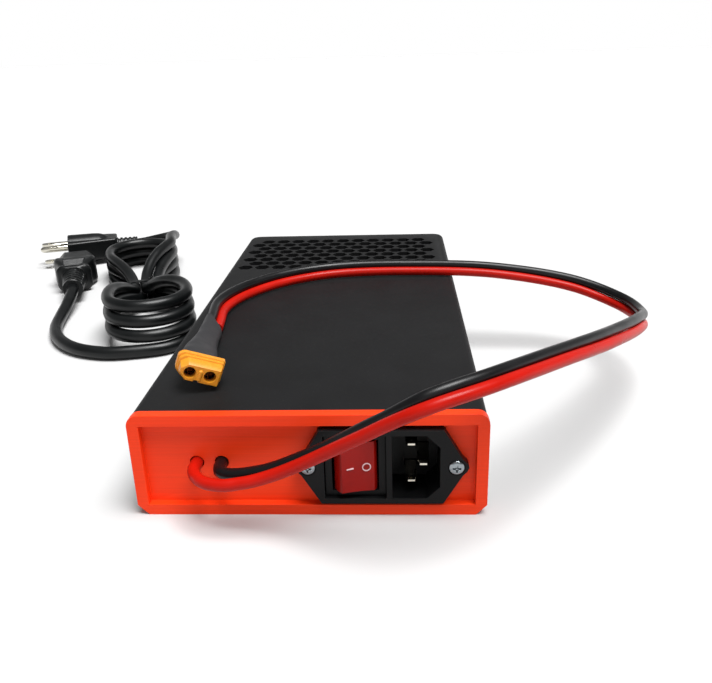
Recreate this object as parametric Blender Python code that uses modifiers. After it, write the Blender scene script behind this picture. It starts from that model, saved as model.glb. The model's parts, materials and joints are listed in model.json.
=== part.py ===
"""12 V bench supply for model chargers: a printed sleeve case around an enclosed switching supply,
with a printed front bezel, a switched mains inlet, a twin output lead and a loose mains lead.

Every size is in millimetres and is turned into metres by MM.  X runs to the right of the front panel,
Z runs up from the table, and depths are measured back from the bezel's front face.  The origin is on
the table, under the middle of the case.
"""
import math

import bmesh
import bpy
from mathutils import Matrix, Vector

MM = 0.001
GAP = 0.3                       # air between pieces that touch

# --- driving dimensions --------------------------------------------------------------------------
WIDTH, HEIGHT, LENGTH = 121.0, 38.5, 248.5
RIM = 4.0                       # face of the bezel's raised rim
RECESS = 3.0                    # depth of the panel behind the rim
PANEL = 3.0                     # thickness of the panel
BAND = 3.9                      # depth of the rim before the case starts
TOP_CORNER, BOTTOM_CHAMFER = 4.0, 3.8

CASE_HALF = WIDTH / 2 - 0.5
CASE_TOP = HEIGHT - 0.5
CASE_FLOOR = 2.2
CASE_SIDE = 2.3
CASE_ROOF = 2.2
REAR_RADIUS, EDGE_RADIUS = 6.5, 2.7

VENT_PITCH, VENT_RIB = 9.1, 1.9
VENT_ROWS, VENT_COLUMNS = 8, 12
VENT_CENTRE = (-1.3, 204.5)     # x, depth

INLET_X, INLET_Z = 24.8, 19.1
INLET_BACK = 18.0
INLET_SCREW_REACH = 25.0
FLANGE_FRONT = -1.0
SWITCH_X = 15.8
ROCKER_PIVOT = 4.3              # depth of the rocker's axis
ROCKER_RADIUS, ROCKER_FACE = 7.6, 5.2
ROCKER_HALF_HEIGHT = 9.45
ROCKER_TILT = 11.5              # degrees, the off side pressed in
SOCKET_LEFT, SOCKET_RIGHT = 28.25, 44.3
SOCKET_HALF, SOCKET_CHAMFER, SOCKET_BACK = 12.0, 4.5, 15.0
PINS = {"pin_line": (34.8, 7.0, 2.5), "pin_neutral": (34.8, -7.0, 2.5), "pin_earth": (38.8, 0.0, 1.5)}
PIN_BACK = 23.0

WIRE_HOLE_Z, WIRE_HOLE_DIAMETER = 19.2, 4.9
RED_HOLE_X, BLACK_HOLE_X = -38.7, -30.1
LEAD_DIAMETER = 4.2

SUPPLY_FRONT, SUPPLY_LENGTH, SUPPLY_WIDTH, SUPPLY_HEIGHT = 28.8, 215.0, 114.8, 30.0
SUPPLY_BASE = CASE_FLOOR + GAP
SHEET = 1.5
BOARD_BOTTOM, BOARD_TOP = 8.0, 9.6
TERMINAL_PITCH, TERMINAL_COUNT, TERMINAL_LEFT = 9.5, 9, -46.0
FAN_X, FAN_DEPTH, FAN_HALF, FAN_BORE = 0.0, 205.0, 30.0, 28.5
FIXING_PLACES = [(-25.0, 62.0), (25.0, 62.0), (-25.0, 212.0), (25.0, 212.0)]

CONNECTOR_NOSE = (-38.6, 18.4, 45.1)   # x, depth, z at the middle of the mating face
CONNECTOR_YAW, CONNECTOR_ROLL = 15.7, 21.4
CONNECTOR_LENGTH = 11.0
CONTACT_PITCH = 7.2

CORD_DIAMETER = 7.0
HANK_CENTRE = (-127.0, 233.0)   # x, depth
HANK_TURN = 19.0                # degrees, the hank's long axis swung from +Y
HANK_HALF_LENGTH, HANK_HALF_WIDTH, HANK_HEIGHT = 97.7, 24.6, 28.4
WAIST_HALF_WIDTH, WAIST_HEIGHT, WAIST_REACH = 14.5, 14.4, 58.0
C13_X, C13_Z, C13_FRONT = -45.0, 9.6, 82.0
PLUG_Y, PLUG_Z, PLUG_FACE = 116.0, 11.2, -51.5

# The output lead's route: x, depth and z of the pair's middle line, then how far the black wire leans
# from beside the red one (0 = on the left of the way it runs, 90 = above), and their spacing.
LEAD_ROUTE = [
    (-34.4, 2.4, 19.2, 0, 8.6), (-34.3, -2.0, 19.2, 0, 8.6), (-32.2, -5.8, 19.1, 0, 7.9),
    (-27.2, -8.1, 19.1, 0, 7.0), (-20.5, -8.9, 20.1, 2, 5.6), (-12.0, -9.4, 22.4, 5, 4.4),
    (2.5, -11.8, 29.8, 6, 4.3), (21.1, -18.2, 42.8, 14, 4.3), (38.7, -22.6, 54.1, 21, 4.3),
    (57.4, -14.2, 56.9, 23, 4.3), (82.2, 12.0, 53.2, 30, 4.3), (109.4, 47.0, 46.0, 45, 4.3),
    (131.7, 83.3, 37.9, 66, 4.3), (142.6, 113.0, 30.6, 90, 4.3), (139.6, 137.0, 29.6, 111, 4.3),
    (119.8, 151.0, 34.6, 126, 4.3), (79.9, 155.5, 40.8, 138, 4.3), (36.1, 157.6, 42.2, 140, 4.3),
    (-0.3, 155.0, 42.2, 136, 4.3), (-24.7, 142.4, 42.2, 131, 4.3), (-41.2, 122.9, 42.2, 129, 4.3),
    (-48.2, 103.2, 42.2, 130, 4.3), (-46.8, 80.0, 42.2, 132, 4.3),
]
# The mains cord's two loose stretches, in the hank's own frame: across, along and up.
C13_ROUTE = [(-45, 13.4, 9.6), (-45.2, 8, 9.3), (-46.2, 1, 8.3), (-48.4, -10, 6.0), (-51, -23, 4.2),
             (-52.6, -38, 3.6), (-51.4, -53, 3.6), (-47, -67, 3.6), (-39.5, -79, 3.6), (-31, -86.4, 3.6),
             (-23.6, -90.6, 3.6)]
PLUG_ROUTE = [(-0.9, 116, 11.2), (3.5, 115.9, 11.5), (9.5, 114.6, 12.6), (16.8, 110.6, 14.6),
              (22.8, 103, 17.2), (25.2, 94, 20), (25.5, 87.5, 21.4)]


# --- materials and collections -------------------------------------------------------------------
def clear_scene():
    for item in list(bpy.data.objects):
        bpy.data.objects.remove(item, do_unlink=True)


def new_collection(name):
    group = bpy.data.collections.new(name)
    bpy.context.scene.collection.children.link(group)
    return group


def material(name, colour, roughness, metallic=0.0):
    made = bpy.data.materials.new(name)
    made.use_nodes = True
    shader = made.node_tree.nodes["Principled BSDF"]
    shader.inputs["Base Color"].default_value = (*colour, 1.0)
    shader.inputs["Roughness"].default_value = roughness
    shader.inputs["Metallic"].default_value = metallic
    return made


clear_scene()
PARTS = new_collection("charger_supply")
CUTTERS = new_collection("cutters")

BLACK_PRINT = material("black_print", (0.026, 0.026, 0.028), 0.55)
ORANGE_PRINT = material("orange_print", (0.83, 0.055, 0.012), 0.45)
BLACK_MOULDING = material("black_moulding", (0.013, 0.013, 0.014), 0.4)
RED_ROCKER = material("red_rocker", (0.40, 0.012, 0.010), 0.25)
PLATED_STEEL = material("plated_steel", (0.62, 0.62, 0.63), 0.28, 1.0)
NICKEL_BRASS = material("nickel_brass", (0.66, 0.63, 0.55), 0.25, 1.0)
SUPPLY_SHEET = material("supply_sheet", (0.55, 0.56, 0.57), 0.42, 1.0)
CIRCUIT_BOARD = material("circuit_board", (0.30, 0.22, 0.07), 0.5)
FERRITE = material("ferrite", (0.05, 0.05, 0.055), 0.7)
YELLOW_TAPE = material("yellow_tape", (0.75, 0.60, 0.08), 0.4)
CAPACITOR_SLEEVE = material("capacitor_sleeve", (0.04, 0.05, 0.09), 0.35)
COPPER_WINDING = material("copper_winding", (0.45, 0.16, 0.05), 0.35, 0.8)
ALUMINIUM = material("aluminium", (0.72, 0.73, 0.74), 0.35, 1.0)
BLUE_TRIMMER = material("blue_trimmer", (0.04, 0.16, 0.45), 0.4)
RED_SILICONE = material("red_silicone", (0.62, 0.022, 0.016), 0.4)
BLACK_SILICONE = material("black_silicone", (0.016, 0.016, 0.018), 0.4)
GREEN_WIRE = material("green_wire", (0.03, 0.30, 0.06), 0.45)
WHITE_WIRE = material("white_wire", (0.75, 0.75, 0.72), 0.45)
GREY_SLEEVE = material("grey_sleeve", (0.060, 0.058, 0.062), 0.55)
YELLOW_NYLON = material("yellow_nylon", (0.88, 0.42, 0.05), 0.4)
GOLD_PLATE = material("gold_plate", (0.80, 0.55, 0.20), 0.25, 1.0)
BLACK_PVC = material("black_pvc", (0.012, 0.014, 0.014), 0.38)


# --- shape helpers -------------------------------------------------------------------------------
def place(x, depth, z):
    """A point of the charger, in metres."""
    return Vector((x, depth - LENGTH / 2, z)) * MM


def keep(name, mesh, surface=None):
    """Link a finished part, or a cutter when it has no surface."""
    made = bpy.data.objects.new(name, mesh)
    if surface:
        mesh.materials.append(surface)
        PARTS.objects.link(made)
    else:
        made.hide_render = True
        made.display_type = "WIRE"
        CUTTERS.objects.link(made)
    return made


def mesh_from(shape, name):
    mesh = bpy.data.meshes.new(name)
    shape.to_mesh(mesh)
    shape.free()
    return mesh


def box_shape(x, depth, z):
    """A block between two values on each axis."""
    low, high = place(x[0], depth[0], z[0]), place(x[1], depth[1], z[1])
    shape = bmesh.new()
    bmesh.ops.create_cube(shape, size=1.0)
    bmesh.ops.scale(shape, vec=high - low, verts=shape.verts)
    bmesh.ops.translate(shape, vec=(high + low) / 2, verts=shape.verts)
    return shape


def box(name, x, depth, z, surface=None, bevel=0.0):
    shape = box_shape(x, depth, z)
    if bevel:
        bmesh.ops.bevel(shape, geom=shape.edges, offset=bevel * MM, segments=2, profile=0.5,
                        affect="EDGES")
    return keep(name, mesh_from(shape, name), surface)


AXIS_TURN = {"x": Matrix.Rotation(math.pi / 2, 4, "Y"), "y": Matrix.Rotation(-math.pi / 2, 4, "X"),
             "z": Matrix.Identity(4)}


def cylinder(name, start, length, radius, axis="z", surface=None, end_radius=None, sides=24):
    """A round bar or cone that starts at a point and runs along +axis."""
    end_radius = radius if end_radius is None else end_radius
    shape = bmesh.new()
    bmesh.ops.create_cone(shape, cap_ends=True, segments=sides, radius1=radius * MM,
                          radius2=end_radius * MM, depth=length * MM)
    bmesh.ops.translate(shape, vec=(0, 0, length * MM / 2), verts=shape.verts)
    bmesh.ops.transform(shape, matrix=Matrix.Translation(place(*start)) @ AXIS_TURN[axis],
                        verts=shape.verts)
    return smooth(keep(name, mesh_from(shape, name), surface))


def smooth(made):
    made.data.shade_smooth()
    made.data.set_sharp_from_angle(angle=math.radians(35))
    return made


def curve_to_mesh(name, curve, matrix):
    """The welded mesh of a curve, moved into place."""
    guide = bpy.data.objects.new(name + "_curve", curve)
    CUTTERS.objects.link(guide)
    graph = bpy.context.evaluated_depsgraph_get()
    mesh = bpy.data.meshes.new_from_object(guide.evaluated_get(graph))
    bpy.data.objects.remove(guide)
    shape = bmesh.new()
    shape.from_mesh(mesh)
    bmesh.ops.remove_doubles(shape, verts=shape.verts, dist=1e-6)
    bmesh.ops.transform(shape, matrix=matrix, verts=shape.verts)
    bmesh.ops.recalc_face_normals(shape, faces=shape.faces)
    shape.to_mesh(mesh)
    shape.free()
    mesh.name = name
    return mesh


def plate(name, outline, thickness, matrix, surface=None):
    """A flat outline, thick along its local +Z, which the matrix then moves."""
    curve = bpy.data.curves.new(name, "CURVE")
    curve.dimensions = "2D"
    curve.fill_mode = "BOTH"
    curve.extrude = thickness * MM / 2
    line = curve.splines.new("POLY")
    line.points.add(len(outline) - 1)
    line.use_cyclic_u = True
    for point, (x, y) in zip(line.points, outline):
        point.co = (x * MM, y * MM, 0, 1)
    lift = Matrix.Translation((0, 0, thickness * MM / 2))
    return keep(name, curve_to_mesh(name, curve, matrix @ lift), surface)


def facing_front(x, depth, z):
    """Outline x to the right, outline y up, thickness running back from a depth."""
    back = Matrix(((1, 0, 0, 0), (0, 0, 1, 0), (0, 1, 0, 0), (0, 0, 0, 1)))
    return Matrix.Translation(place(x, depth, z)) @ back


def lying(x, depth, z):
    """Outline x to the right, outline y to the back, thickness up."""
    return Matrix.Translation(place(x, depth, z))


def turned(name, profile, start, axis, surface=None, steps=20):
    """A profile of (radius, height) points, lowest first, spun round an axis."""
    shape = bmesh.new()
    points = [shape.verts.new((radius * MM, 0, height * MM)) for radius, height in reversed(profile)]
    for first, second in zip(points, points[1:]):
        shape.edges.new((first, second))
    made = keep(name, mesh_from(shape, name), surface)
    made.matrix_world = Matrix.Translation(place(*start)) @ AXIS_TURN[axis]
    spin = made.modifiers.new("spin", "SCREW")
    spin.steps = steps
    spin.render_steps = steps
    spin.use_merge_vertices = True
    spin.merge_threshold = 1e-6
    return made


def bolt_on(made, operation, *others):
    """Cut the others from a piece, or join them to it."""
    for other in others:
        step = made.modifiers.new(other.name, "BOOLEAN")
        step.operation = operation
        step.object = other
    return made


def cut(made, *cutters):
    return bolt_on(made, "DIFFERENCE", *cutters)


def join(made, *others):
    return bolt_on(made, "UNION", *others)


def smooth_route(points, spacing):
    """Evenly spaced places along a smooth curve through the points (centripetal Catmull-Rom)."""
    ends = [points[0] * 2 - points[1], *points, points[-1] * 2 - points[-2]]
    fine = []
    for before, here, there, after in zip(ends, ends[1:], ends[2:], ends[3:]):
        knots = [0.0]
        for a, b in ((before, here), (here, there), (there, after)):
            knots.append(knots[-1] + math.sqrt((b - a).length))
        for step in range(24):
            t = knots[1] + (knots[2] - knots[1]) * step / 24
            lines = [(a * (hi - t) + b * (t - lo)) / (hi - lo) for a, b, lo, hi in
                     zip((before, here, there), (here, there, after), knots, knots[1:])]
            bends = [(a * (hi - t) + b * (t - lo)) / (hi - lo) for a, b, lo, hi in
                     zip(lines, lines[1:], knots, knots[2:])]
            fine.append((bends[0] * (knots[2] - t) + bends[1] * (t - knots[1])) / (knots[2] - knots[1]))
    fine.append(points[-1])
    return resample(fine, spacing)


def resample(fine, spacing):
    lengths = [0.0]
    for a, b in zip(fine, fine[1:]):
        lengths.append(lengths[-1] + (b - a).length)
    count = max(2, round(lengths[-1] / spacing))
    even, index = [], 0
    for step in range(count + 1):
        target = lengths[-1] * step / count
        while index < len(fine) - 2 and lengths[index + 1] < target:
            index += 1
        span = lengths[index + 1] - lengths[index]
        share = (target - lengths[index]) / span if span else 0.0
        even.append(fine[index].lerp(fine[index + 1], min(1.0, share)))
    return even


def tube(name, points, diameter, surface):
    """A round wire along a list of places in metres."""
    curve = bpy.data.curves.new(name, "CURVE")
    curve.dimensions = "3D"
    curve.bevel_depth = diameter * MM / 2
    curve.bevel_resolution = 2
    curve.use_fill_caps = True
    line = curve.splines.new("POLY")
    line.points.add(len(points) - 1)
    for point, spot in zip(line.points, points):
        point.co = (*spot, 1)
    made = bpy.data.objects.new(name, curve)
    curve.materials.append(surface)
    PARTS.objects.link(made)
    return made


def wire(name, route, diameter, surface):
    points = smooth_route([place(*point) for point in route], diameter * 2.4 * MM)
    return tube(name, points, diameter, surface)


# --- case and bezel ------------------------------------------------------------------------------
def edges_where(shape, test):
    return [edge for edge in shape.edges if all(test(vertex.co) for vertex in edge.verts)]


def vent_cutters():
    """Pointed-top hexagons in staggered rows, as one mesh."""
    across = (VENT_PITCH - VENT_RIB) / 2
    row_step = VENT_PITCH * math.sqrt(3) / 2
    shape = bmesh.new()
    for row in range(VENT_ROWS):
        columns = VENT_COLUMNS - 1 if row % 2 else VENT_COLUMNS
        for column in range(columns):
            x = VENT_CENTRE[0] + (column - (columns - 1) / 2) * VENT_PITCH
            depth = VENT_CENTRE[1] + (row - (VENT_ROWS - 1) / 2) * row_step
            spot = Matrix.Translation(place(x, depth, CASE_TOP - 1)) @ Matrix.Rotation(math.pi / 6, 4, "Z")
            bmesh.ops.create_cone(shape, cap_ends=True, segments=6, depth=8 * MM, matrix=spot,
                                  radius1=across / math.cos(math.pi / 6) * MM,
                                  radius2=across / math.cos(math.pi / 6) * MM)
    return keep("vent_cutters", mesh_from(shape, "vent_cutters"))


def case_shell():
    rear, top = place(0, LENGTH, 0).y, CASE_TOP * MM
    shape = box_shape((-CASE_HALF, CASE_HALF), (BAND + 0.2, LENGTH), (0, CASE_TOP))
    upright = [edge for edge in edges_where(shape, lambda co: abs(co.y - rear) < 1e-6)
               if abs(edge.verts[0].co.x - edge.verts[1].co.x) < 1e-6]
    bmesh.ops.bevel(shape, geom=upright, offset=REAR_RADIUS * MM, segments=5, profile=0.5,
                    affect="EDGES")
    front = place(0, BAND + 0.2, 0).y
    around = [edge for edge in edges_where(shape, lambda co: abs(co.z - top) < 1e-6)
              if any(abs(vertex.co.y - front) > 1e-6 for vertex in edge.verts)]
    bmesh.ops.bevel(shape, geom=around, offset=EDGE_RADIUS * MM, segments=4, profile=0.5,
                    affect="EDGES")
    below = [edge for edge in edges_where(shape, lambda co: abs(co.z) < 1e-6)
             if any(abs(vertex.co.y - front) > 1e-6 for vertex in edge.verts)]
    bmesh.ops.bevel(shape, geom=below, offset=1.0 * MM, segments=1, profile=0.5, affect="EDGES")
    made = keep("case_shell", mesh_from(shape, "case_shell"), BLACK_PRINT)
    inside = CASE_HALF - CASE_SIDE
    hollow = box("case_hollow", (-inside, inside), (-10, LENGTH - 2.5), (CASE_FLOOR, CASE_TOP - CASE_ROOF))
    cut(made, hollow, vent_cutters())
    for number, (x, depth) in enumerate(FIXING_PLACES, 1):
        sink = turned(f"case_sink_{number}", [(0, -1), (5.3, -1), (4.3, 0), (2.35, 2.0), (2.35, 5), (0, 5)],
                      (x, depth, 0), "z")
        cut(made, sink)
    return smooth(made)


def bezel_outline(half, bottom, top):
    """Rounded top corners and chamfered bottom ones, clockwise from the bottom left."""
    right = [(half - BOTTOM_CHAMFER, bottom), (half, bottom + BOTTOM_CHAMFER)]
    for step in range(6):
        turn = math.radians(18 * step)
        right.append((half - TOP_CORNER + TOP_CORNER * math.cos(turn),
                      top - TOP_CORNER + TOP_CORNER * math.sin(turn)))
    return right + [(-x, y) for x, y in reversed(right)]


def front_bezel():
    made = plate("front_bezel", bezel_outline(WIDTH / 2, 0, HEIGHT), BAND, facing_front(0, 0, 0),
                 ORANGE_PRINT)
    inside = CASE_HALF - CASE_SIDE - GAP
    low, high = CASE_FLOOR + GAP, CASE_TOP - CASE_ROOF - GAP
    plug = box("bezel_plug", (-inside, inside), (BAND - 0.5, 8.0), (low, high))
    inner = WIDTH / 2 - RIM
    recess = box("bezel_recess", (-inner, inner), (-1, RECESS), (RIM, HEIGHT - RIM))
    pocket = box("bezel_pocket", (2.2 - inside, inside - 2.2), (RECESS + PANEL, 9), (low + 2.2, high - 2.2))
    window = box("bezel_window", (INLET_X - 21.4, INLET_X + 21.4), (-2, 10), (INLET_Z - 13.3, INLET_Z + 13.3))
    join(made, plug)
    cut(made, recess, pocket, window)
    for name, x in (("red", RED_HOLE_X), ("black", BLACK_HOLE_X)):
        cut(made, cylinder(f"bezel_{name}_hole", (x, -1, WIRE_HOLE_Z), 9, WIRE_HOLE_DIAMETER / 2, "y"))
    for side in (-1, 1):
        spot = (INLET_X + side * INLET_SCREW_REACH, -2, INLET_Z)
        cut(made, cylinder(f"bezel_screw_hole{side}", spot, 10, 1.7, "y", sides=12))


# --- switched mains inlet ------------------------------------------------------------------------
def flange_outline():
    quarter = [(20.7, 14.0), (27.2, 2.9), (28.6, 1.5), (29.2, 0.0)]
    half = quarter + [(x, -y) for x, y in reversed(quarter[:-1])]
    return half + [(-x, y) for x, y in reversed(half)]


def socket_outline(grow=0.0):
    """The inlet's well: two square corners on the left, two chamfered on the right."""
    left, right, half = SOCKET_LEFT - grow, SOCKET_RIGHT + grow, SOCKET_HALF + grow
    return [(left, -half), (right - SOCKET_CHAMFER, -half), (right, SOCKET_CHAMFER - half),
            (right, half - SOCKET_CHAMFER), (right - SOCKET_CHAMFER, half), (left, half)]


def inlet_housing():
    made = plate("inlet_housing", flange_outline(), RECESS - GAP - FLANGE_FRONT,
                 facing_front(INLET_X, FLANGE_FRONT, INLET_Z), BLACK_MOULDING)
    body = box("inlet_body", (INLET_X - 21, INLET_X + 21), (2, INLET_BACK), (INLET_Z - 13, INLET_Z + 13))
    seat = box("switch_seat", (SWITCH_X - 10.5, SWITCH_X + 10.5), (-3, 2.7), (INLET_Z - 12, INLET_Z + 12))
    well = box("switch_well", (SWITCH_X - 9.3, SWITCH_X + 9.3), (2, 20), (INLET_Z - 10.8, INLET_Z + 10.8))
    socket = plate("socket_well", socket_outline(), SOCKET_BACK + 3, facing_front(0, -3, INLET_Z))
    join(made, body)
    cut(made, seat, well, socket)
    for name, (x, rise, _) in PINS.items():
        z = INLET_Z + rise
        cut(made, box(name + "_slot", (x - 2.3, x + 2.3), (SOCKET_BACK - 1, 20), (z - 1.3, z + 1.3)))
    for side in (-1, 1):
        spot = (INLET_X + side * INLET_SCREW_REACH, FLANGE_FRONT, INLET_Z)
        cut(made, turned(f"flange_sink{side}", [(0, -1), (3.9, -1), (2.9, 0), (1.7, 1.4), (1.7, 6), (0, 6)],
                         spot, "y"))


def inlet_pins():
    for name, (x, rise, tip) in PINS.items():
        z = INLET_Z + rise
        shape = box_shape((x - 2, x + 2), (tip, PIN_BACK), (z - 1, z + 1))
        front = place(0, tip, 0).y
        bmesh.ops.bevel(shape, geom=edges_where(shape, lambda co: abs(co.y - front) < 1e-6),
                        offset=0.55 * MM, segments=1, profile=0.5, affect="EDGES")
        keep(name, mesh_from(shape, name), NICKEL_BRASS)


def inlet_screws():
    profile = [(0, -0.75), (1.6, -0.6), (2.6, -0.1), (2.6, 0.05), (1.35, 1.2), (1.35, 9), (0, 9.6)]
    for label, side in (("left", -1), ("right", 1)):
        x = INLET_X + side * INLET_SCREW_REACH
        made = turned(f"inlet_screw_{label}", profile, (x, FLANGE_FRONT, INLET_Z), "y", PLATED_STEEL)
        for way, wide, tall in (("flat", 1.6, 0.35), ("upright", 0.35, 1.6)):
            cut(made, box(f"{label}_slot_{way}", (x - wide, x + wide), (-3, FLANGE_FRONT + 0.5),
                          (INLET_Z - tall, INLET_Z + tall)))


def rocker_switch():
    frame = box("switch_frame", (SWITCH_X - 10.2, SWITCH_X + 10.2), (0.8, 2.4),
                (INLET_Z - 11.7, INLET_Z + 11.7), BLACK_MOULDING)
    body = box("switch_body", (SWITCH_X - 9, SWITCH_X + 9), (2, 17), (INLET_Z - 10.5, INLET_Z + 10.5))
    pocket = box("rocker_pocket", (SWITCH_X - 7.9, SWITCH_X + 7.9), (0, 13),
                 (INLET_Z - ROCKER_HALF_HEIGHT - GAP, INLET_Z + ROCKER_HALF_HEIGHT + GAP))
    bearing = cylinder("rocker_bearing", (SWITCH_X, ROCKER_PIVOT, INLET_Z - 12), 24, 1.75, sides=16)
    join(frame, body)
    cut(frame, pocket, bearing)
    for label, shift in (("left", -5.0), ("right", 5.0)):
        x = SWITCH_X + shift
        cut(frame, box(f"switch_tab_{label}_slot", (x - 0.7, x + 0.7), (14, 18), (22.4, 27.8)))
        box(f"switch_tab_{label}", (x - 0.4, x + 0.4), (14.5, 24), (22.7, 27.5), NICKEL_BRASS)

    reach = math.asin(ROCKER_FACE / ROCKER_RADIUS)
    half_face = ROCKER_RADIUS * math.cos(reach)
    face = [(half_face * step / 3, -ROCKER_FACE + 0.4 * (1 - (step / 3) ** 2)) for step in range(-3, 4)]
    side = [(ROCKER_RADIUS * math.cos(turn), ROCKER_RADIUS * math.sin(turn))
            for turn in (-reach * 0.75, -reach * 0.5, -reach * 0.25, 0.0, 0.2, 0.4)]
    outline = face + side + [(-x, y) for x, y in reversed(side)]
    tilt = Matrix.Rotation(math.radians(ROCKER_TILT), 4, "Z")
    bottom = Matrix.Translation((0, 0, -ROCKER_HALF_HEIGHT * MM))
    rocker = plate("rocker", outline, 2 * ROCKER_HALF_HEIGHT,
                   lying(SWITCH_X, ROCKER_PIVOT, INLET_Z) @ tilt @ bottom, RED_ROCKER)
    join(rocker, cylinder("rocker_pin", (SWITCH_X, ROCKER_PIVOT, INLET_Z - 10.2), 20.4, 1.5, sides=16))
    smooth(rocker)


# --- enclosed supply -----------------------------------------------------------------------------
def supply_case():
    half, back = SUPPLY_WIDTH / 2, SUPPLY_FRONT + SUPPLY_LENGTH
    lid = SUPPLY_BASE + SUPPLY_HEIGHT - 0.8
    chassis = box("supply_chassis", (-half, half), (SUPPLY_FRONT, back), (SUPPLY_BASE, lid - GAP),
                  SUPPLY_SHEET)
    hollow = box("chassis_hollow", (SHEET - half, half - SHEET), (20, back - SHEET),
                 (SUPPLY_BASE + SHEET, 40))
    cut(chassis, hollow, box("selector_window", (half - 3, half + 3), (57.5, 68.5), (15.5, 20.5)))
    stud_height = BOARD_BOTTOM - GAP - SUPPLY_BASE - 1
    for number, (x, depth) in enumerate(((-50, 50), (50, 50), (-50, 232), (50, 232)), 1):
        join(chassis, cylinder(f"stud_{number}", (x, depth, SUPPLY_BASE + 1), stud_height, 3.0, sides=12))
    for number, (x, depth) in enumerate(FIXING_PLACES, 1):
        cut(chassis, cylinder(f"chassis_hole_{number}", (x, depth, 1), 5, 2.3, sides=12))

    cover = box("supply_cover", (-half, half), (47.5, back), (lid, lid + 0.8), SUPPLY_SHEET)
    join(cover, box("cover_lip", (SHEET + GAP - half, half - SHEET - GAP), (47.5, 48.5), (25, lid + 0.4)))
    opening = cylinder("fan_opening", (FAN_X, FAN_DEPTH, lid - 5), 10, FAN_BORE - 0.5, sides=40)
    for radius in (8, 15, 22):
        outer = cylinder(f"guard_outer_{radius}", (FAN_X, FAN_DEPTH, lid - 6), 12, radius + 1, sides=32)
        cut(outer, cylinder(f"guard_inner_{radius}", (FAN_X, FAN_DEPTH, lid - 7), 14, radius - 1, sides=32))
        cut(opening, outer)
    for label, wide, deep in (("across", FAN_HALF, 1.2), ("along", 1.2, FAN_HALF)):
        cut(opening, box(f"guard_{label}", (FAN_X - wide, FAN_X + wide), (FAN_DEPTH - deep, FAN_DEPTH + deep),
                         (lid - 6, lid + 6)))
    cut(cover, opening)
    box("circuit_board", (-54, 54), (32, 240), (BOARD_BOTTOM, BOARD_TOP), CIRCUIT_BOARD)


def terminal_x(slot):
    return TERMINAL_LEFT + TERMINAL_PITCH * slot + 5.25


def terminal_block():
    """A comb of barriers on a base, with a wall behind."""
    bottom, base, high = BOARD_TOP + GAP, 16.0, 24.0
    outline = []
    for slot in range(TERMINAL_COUNT + 1):
        x = TERMINAL_LEFT + TERMINAL_PITCH * slot
        outline += [(x, base), (x, high), (x + 1, high), (x + 1, base)]
    outline = outline[1:-1] + [(outline[-1][0], bottom), (TERMINAL_LEFT, bottom)]
    made = plate("terminal_block", outline, 12, facing_front(0, 33, 0), BLACK_MOULDING)
    right = TERMINAL_LEFT + TERMINAL_PITCH * TERMINAL_COUNT + 1
    join(made, box("terminal_wall", (TERMINAL_LEFT, right), (43.5, 45.5), (bottom, high)))
    screws = {"positive": 0, "negative": 3, "earth": 6, "neutral": 7, "line": 8}
    profile = [(0, -4.5), (1.4, -4.5), (1.4, 0.3), (3.4, 0.3), (3.4, 1.1), (2.9, 1.1), (2.9, 2.9), (0, 3.3)]
    for label, slot in screws.items():
        x = terminal_x(slot)
        cut(made, cylinder(f"terminal_hole_{label}", (x, 38, base - 5), 6, 1.8, sides=12))
        turned(f"terminal_screw_{label}", profile, (x, 38, base), "z", PLATED_STEEL, steps=16)


def board_controls():
    box("trimmer_body", (-53.5, -47), (35, 41.5), (BOARD_TOP + GAP, 16), BLUE_TRIMMER, bevel=0.3)
    rotor = cylinder("trimmer_rotor", (-50.25, 38.25, 16.3), 1.4, 2.3, surface=GOLD_PLATE, sides=16)
    cut(rotor, box("trimmer_slot", (-53, -47), (37.95, 38.55), (17.1, 19)))
    selector = box("selector_body", (49.5, 55.6), (55.5, 70.5), (13.5, 22.5), BLACK_MOULDING)
    cut(selector, box("selector_groove", (52.5, 57), (57.5, 68.5), (15.5, 20.5)))
    box("selector_slider", (52.9, 57.1), (57.9, 63.1), (15.9, 20.1), RED_ROCKER, bevel=0.3)


def power_parts():
    floor = BOARD_TOP + GAP
    core = box("transformer_core", (-18, 22), (112, 128), (floor + 0.5, floor + 20), FERRITE)
    cut(core, box("core_window", (-12, 16), (110, 130), (floor + 4.5, floor + 16)))
    box("transformer_winding", (-11.7, 15.7), (102, 138), (floor + 4.8, floor + 15.7), YELLOW_TAPE, bevel=1.5)
    cylinder("bulk_capacitor_front", (34, 84, floor + 10.4), 38, 10, "y", CAPACITOR_SLEEVE)
    cylinder("bulk_capacitor_rear", (34, 126, floor + 10.4), 38, 10, "y", CAPACITOR_SLEEVE)
    cylinder("output_capacitor", (-37, 66, floor), 20, 8, surface=CAPACITOR_SLEEVE)
    for name, x, depth, ring in (("line_choke", 24, 64, 8), ("output_inductor", -34, 94, 10)):
        bpy.ops.mesh.primitive_torus_add(major_radius=ring * MM, minor_radius=ring * 0.45 * MM,
                                         major_segments=24, minor_segments=10)
        made = bpy.context.object
        made.name = name
        made.matrix_world = Matrix.Translation(place(x, depth, floor + 0.5 * ring))
        made.data.materials.append(COPPER_WINDING)
        made.data.shade_smooth()
        for group in list(made.users_collection):
            group.objects.unlink(made)
        PARTS.objects.link(made)
    for label, side, start in (("left", -1, 74), ("right", 1, 84)):
        wall = sorted((side * 52, side * 55.5))
        sink = box(f"heatsink_{label}", wall, (start, 166), (floor, 29), ALUMINIUM)
        for number in range(3):
            near = start + 12 + number * 26
            lump = sorted((side * 48.5, side * 52.5))
            join(sink, box(f"{label}_transistor_{number}", lump, (near, near + 15), (floor + 4, 27)))


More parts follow.
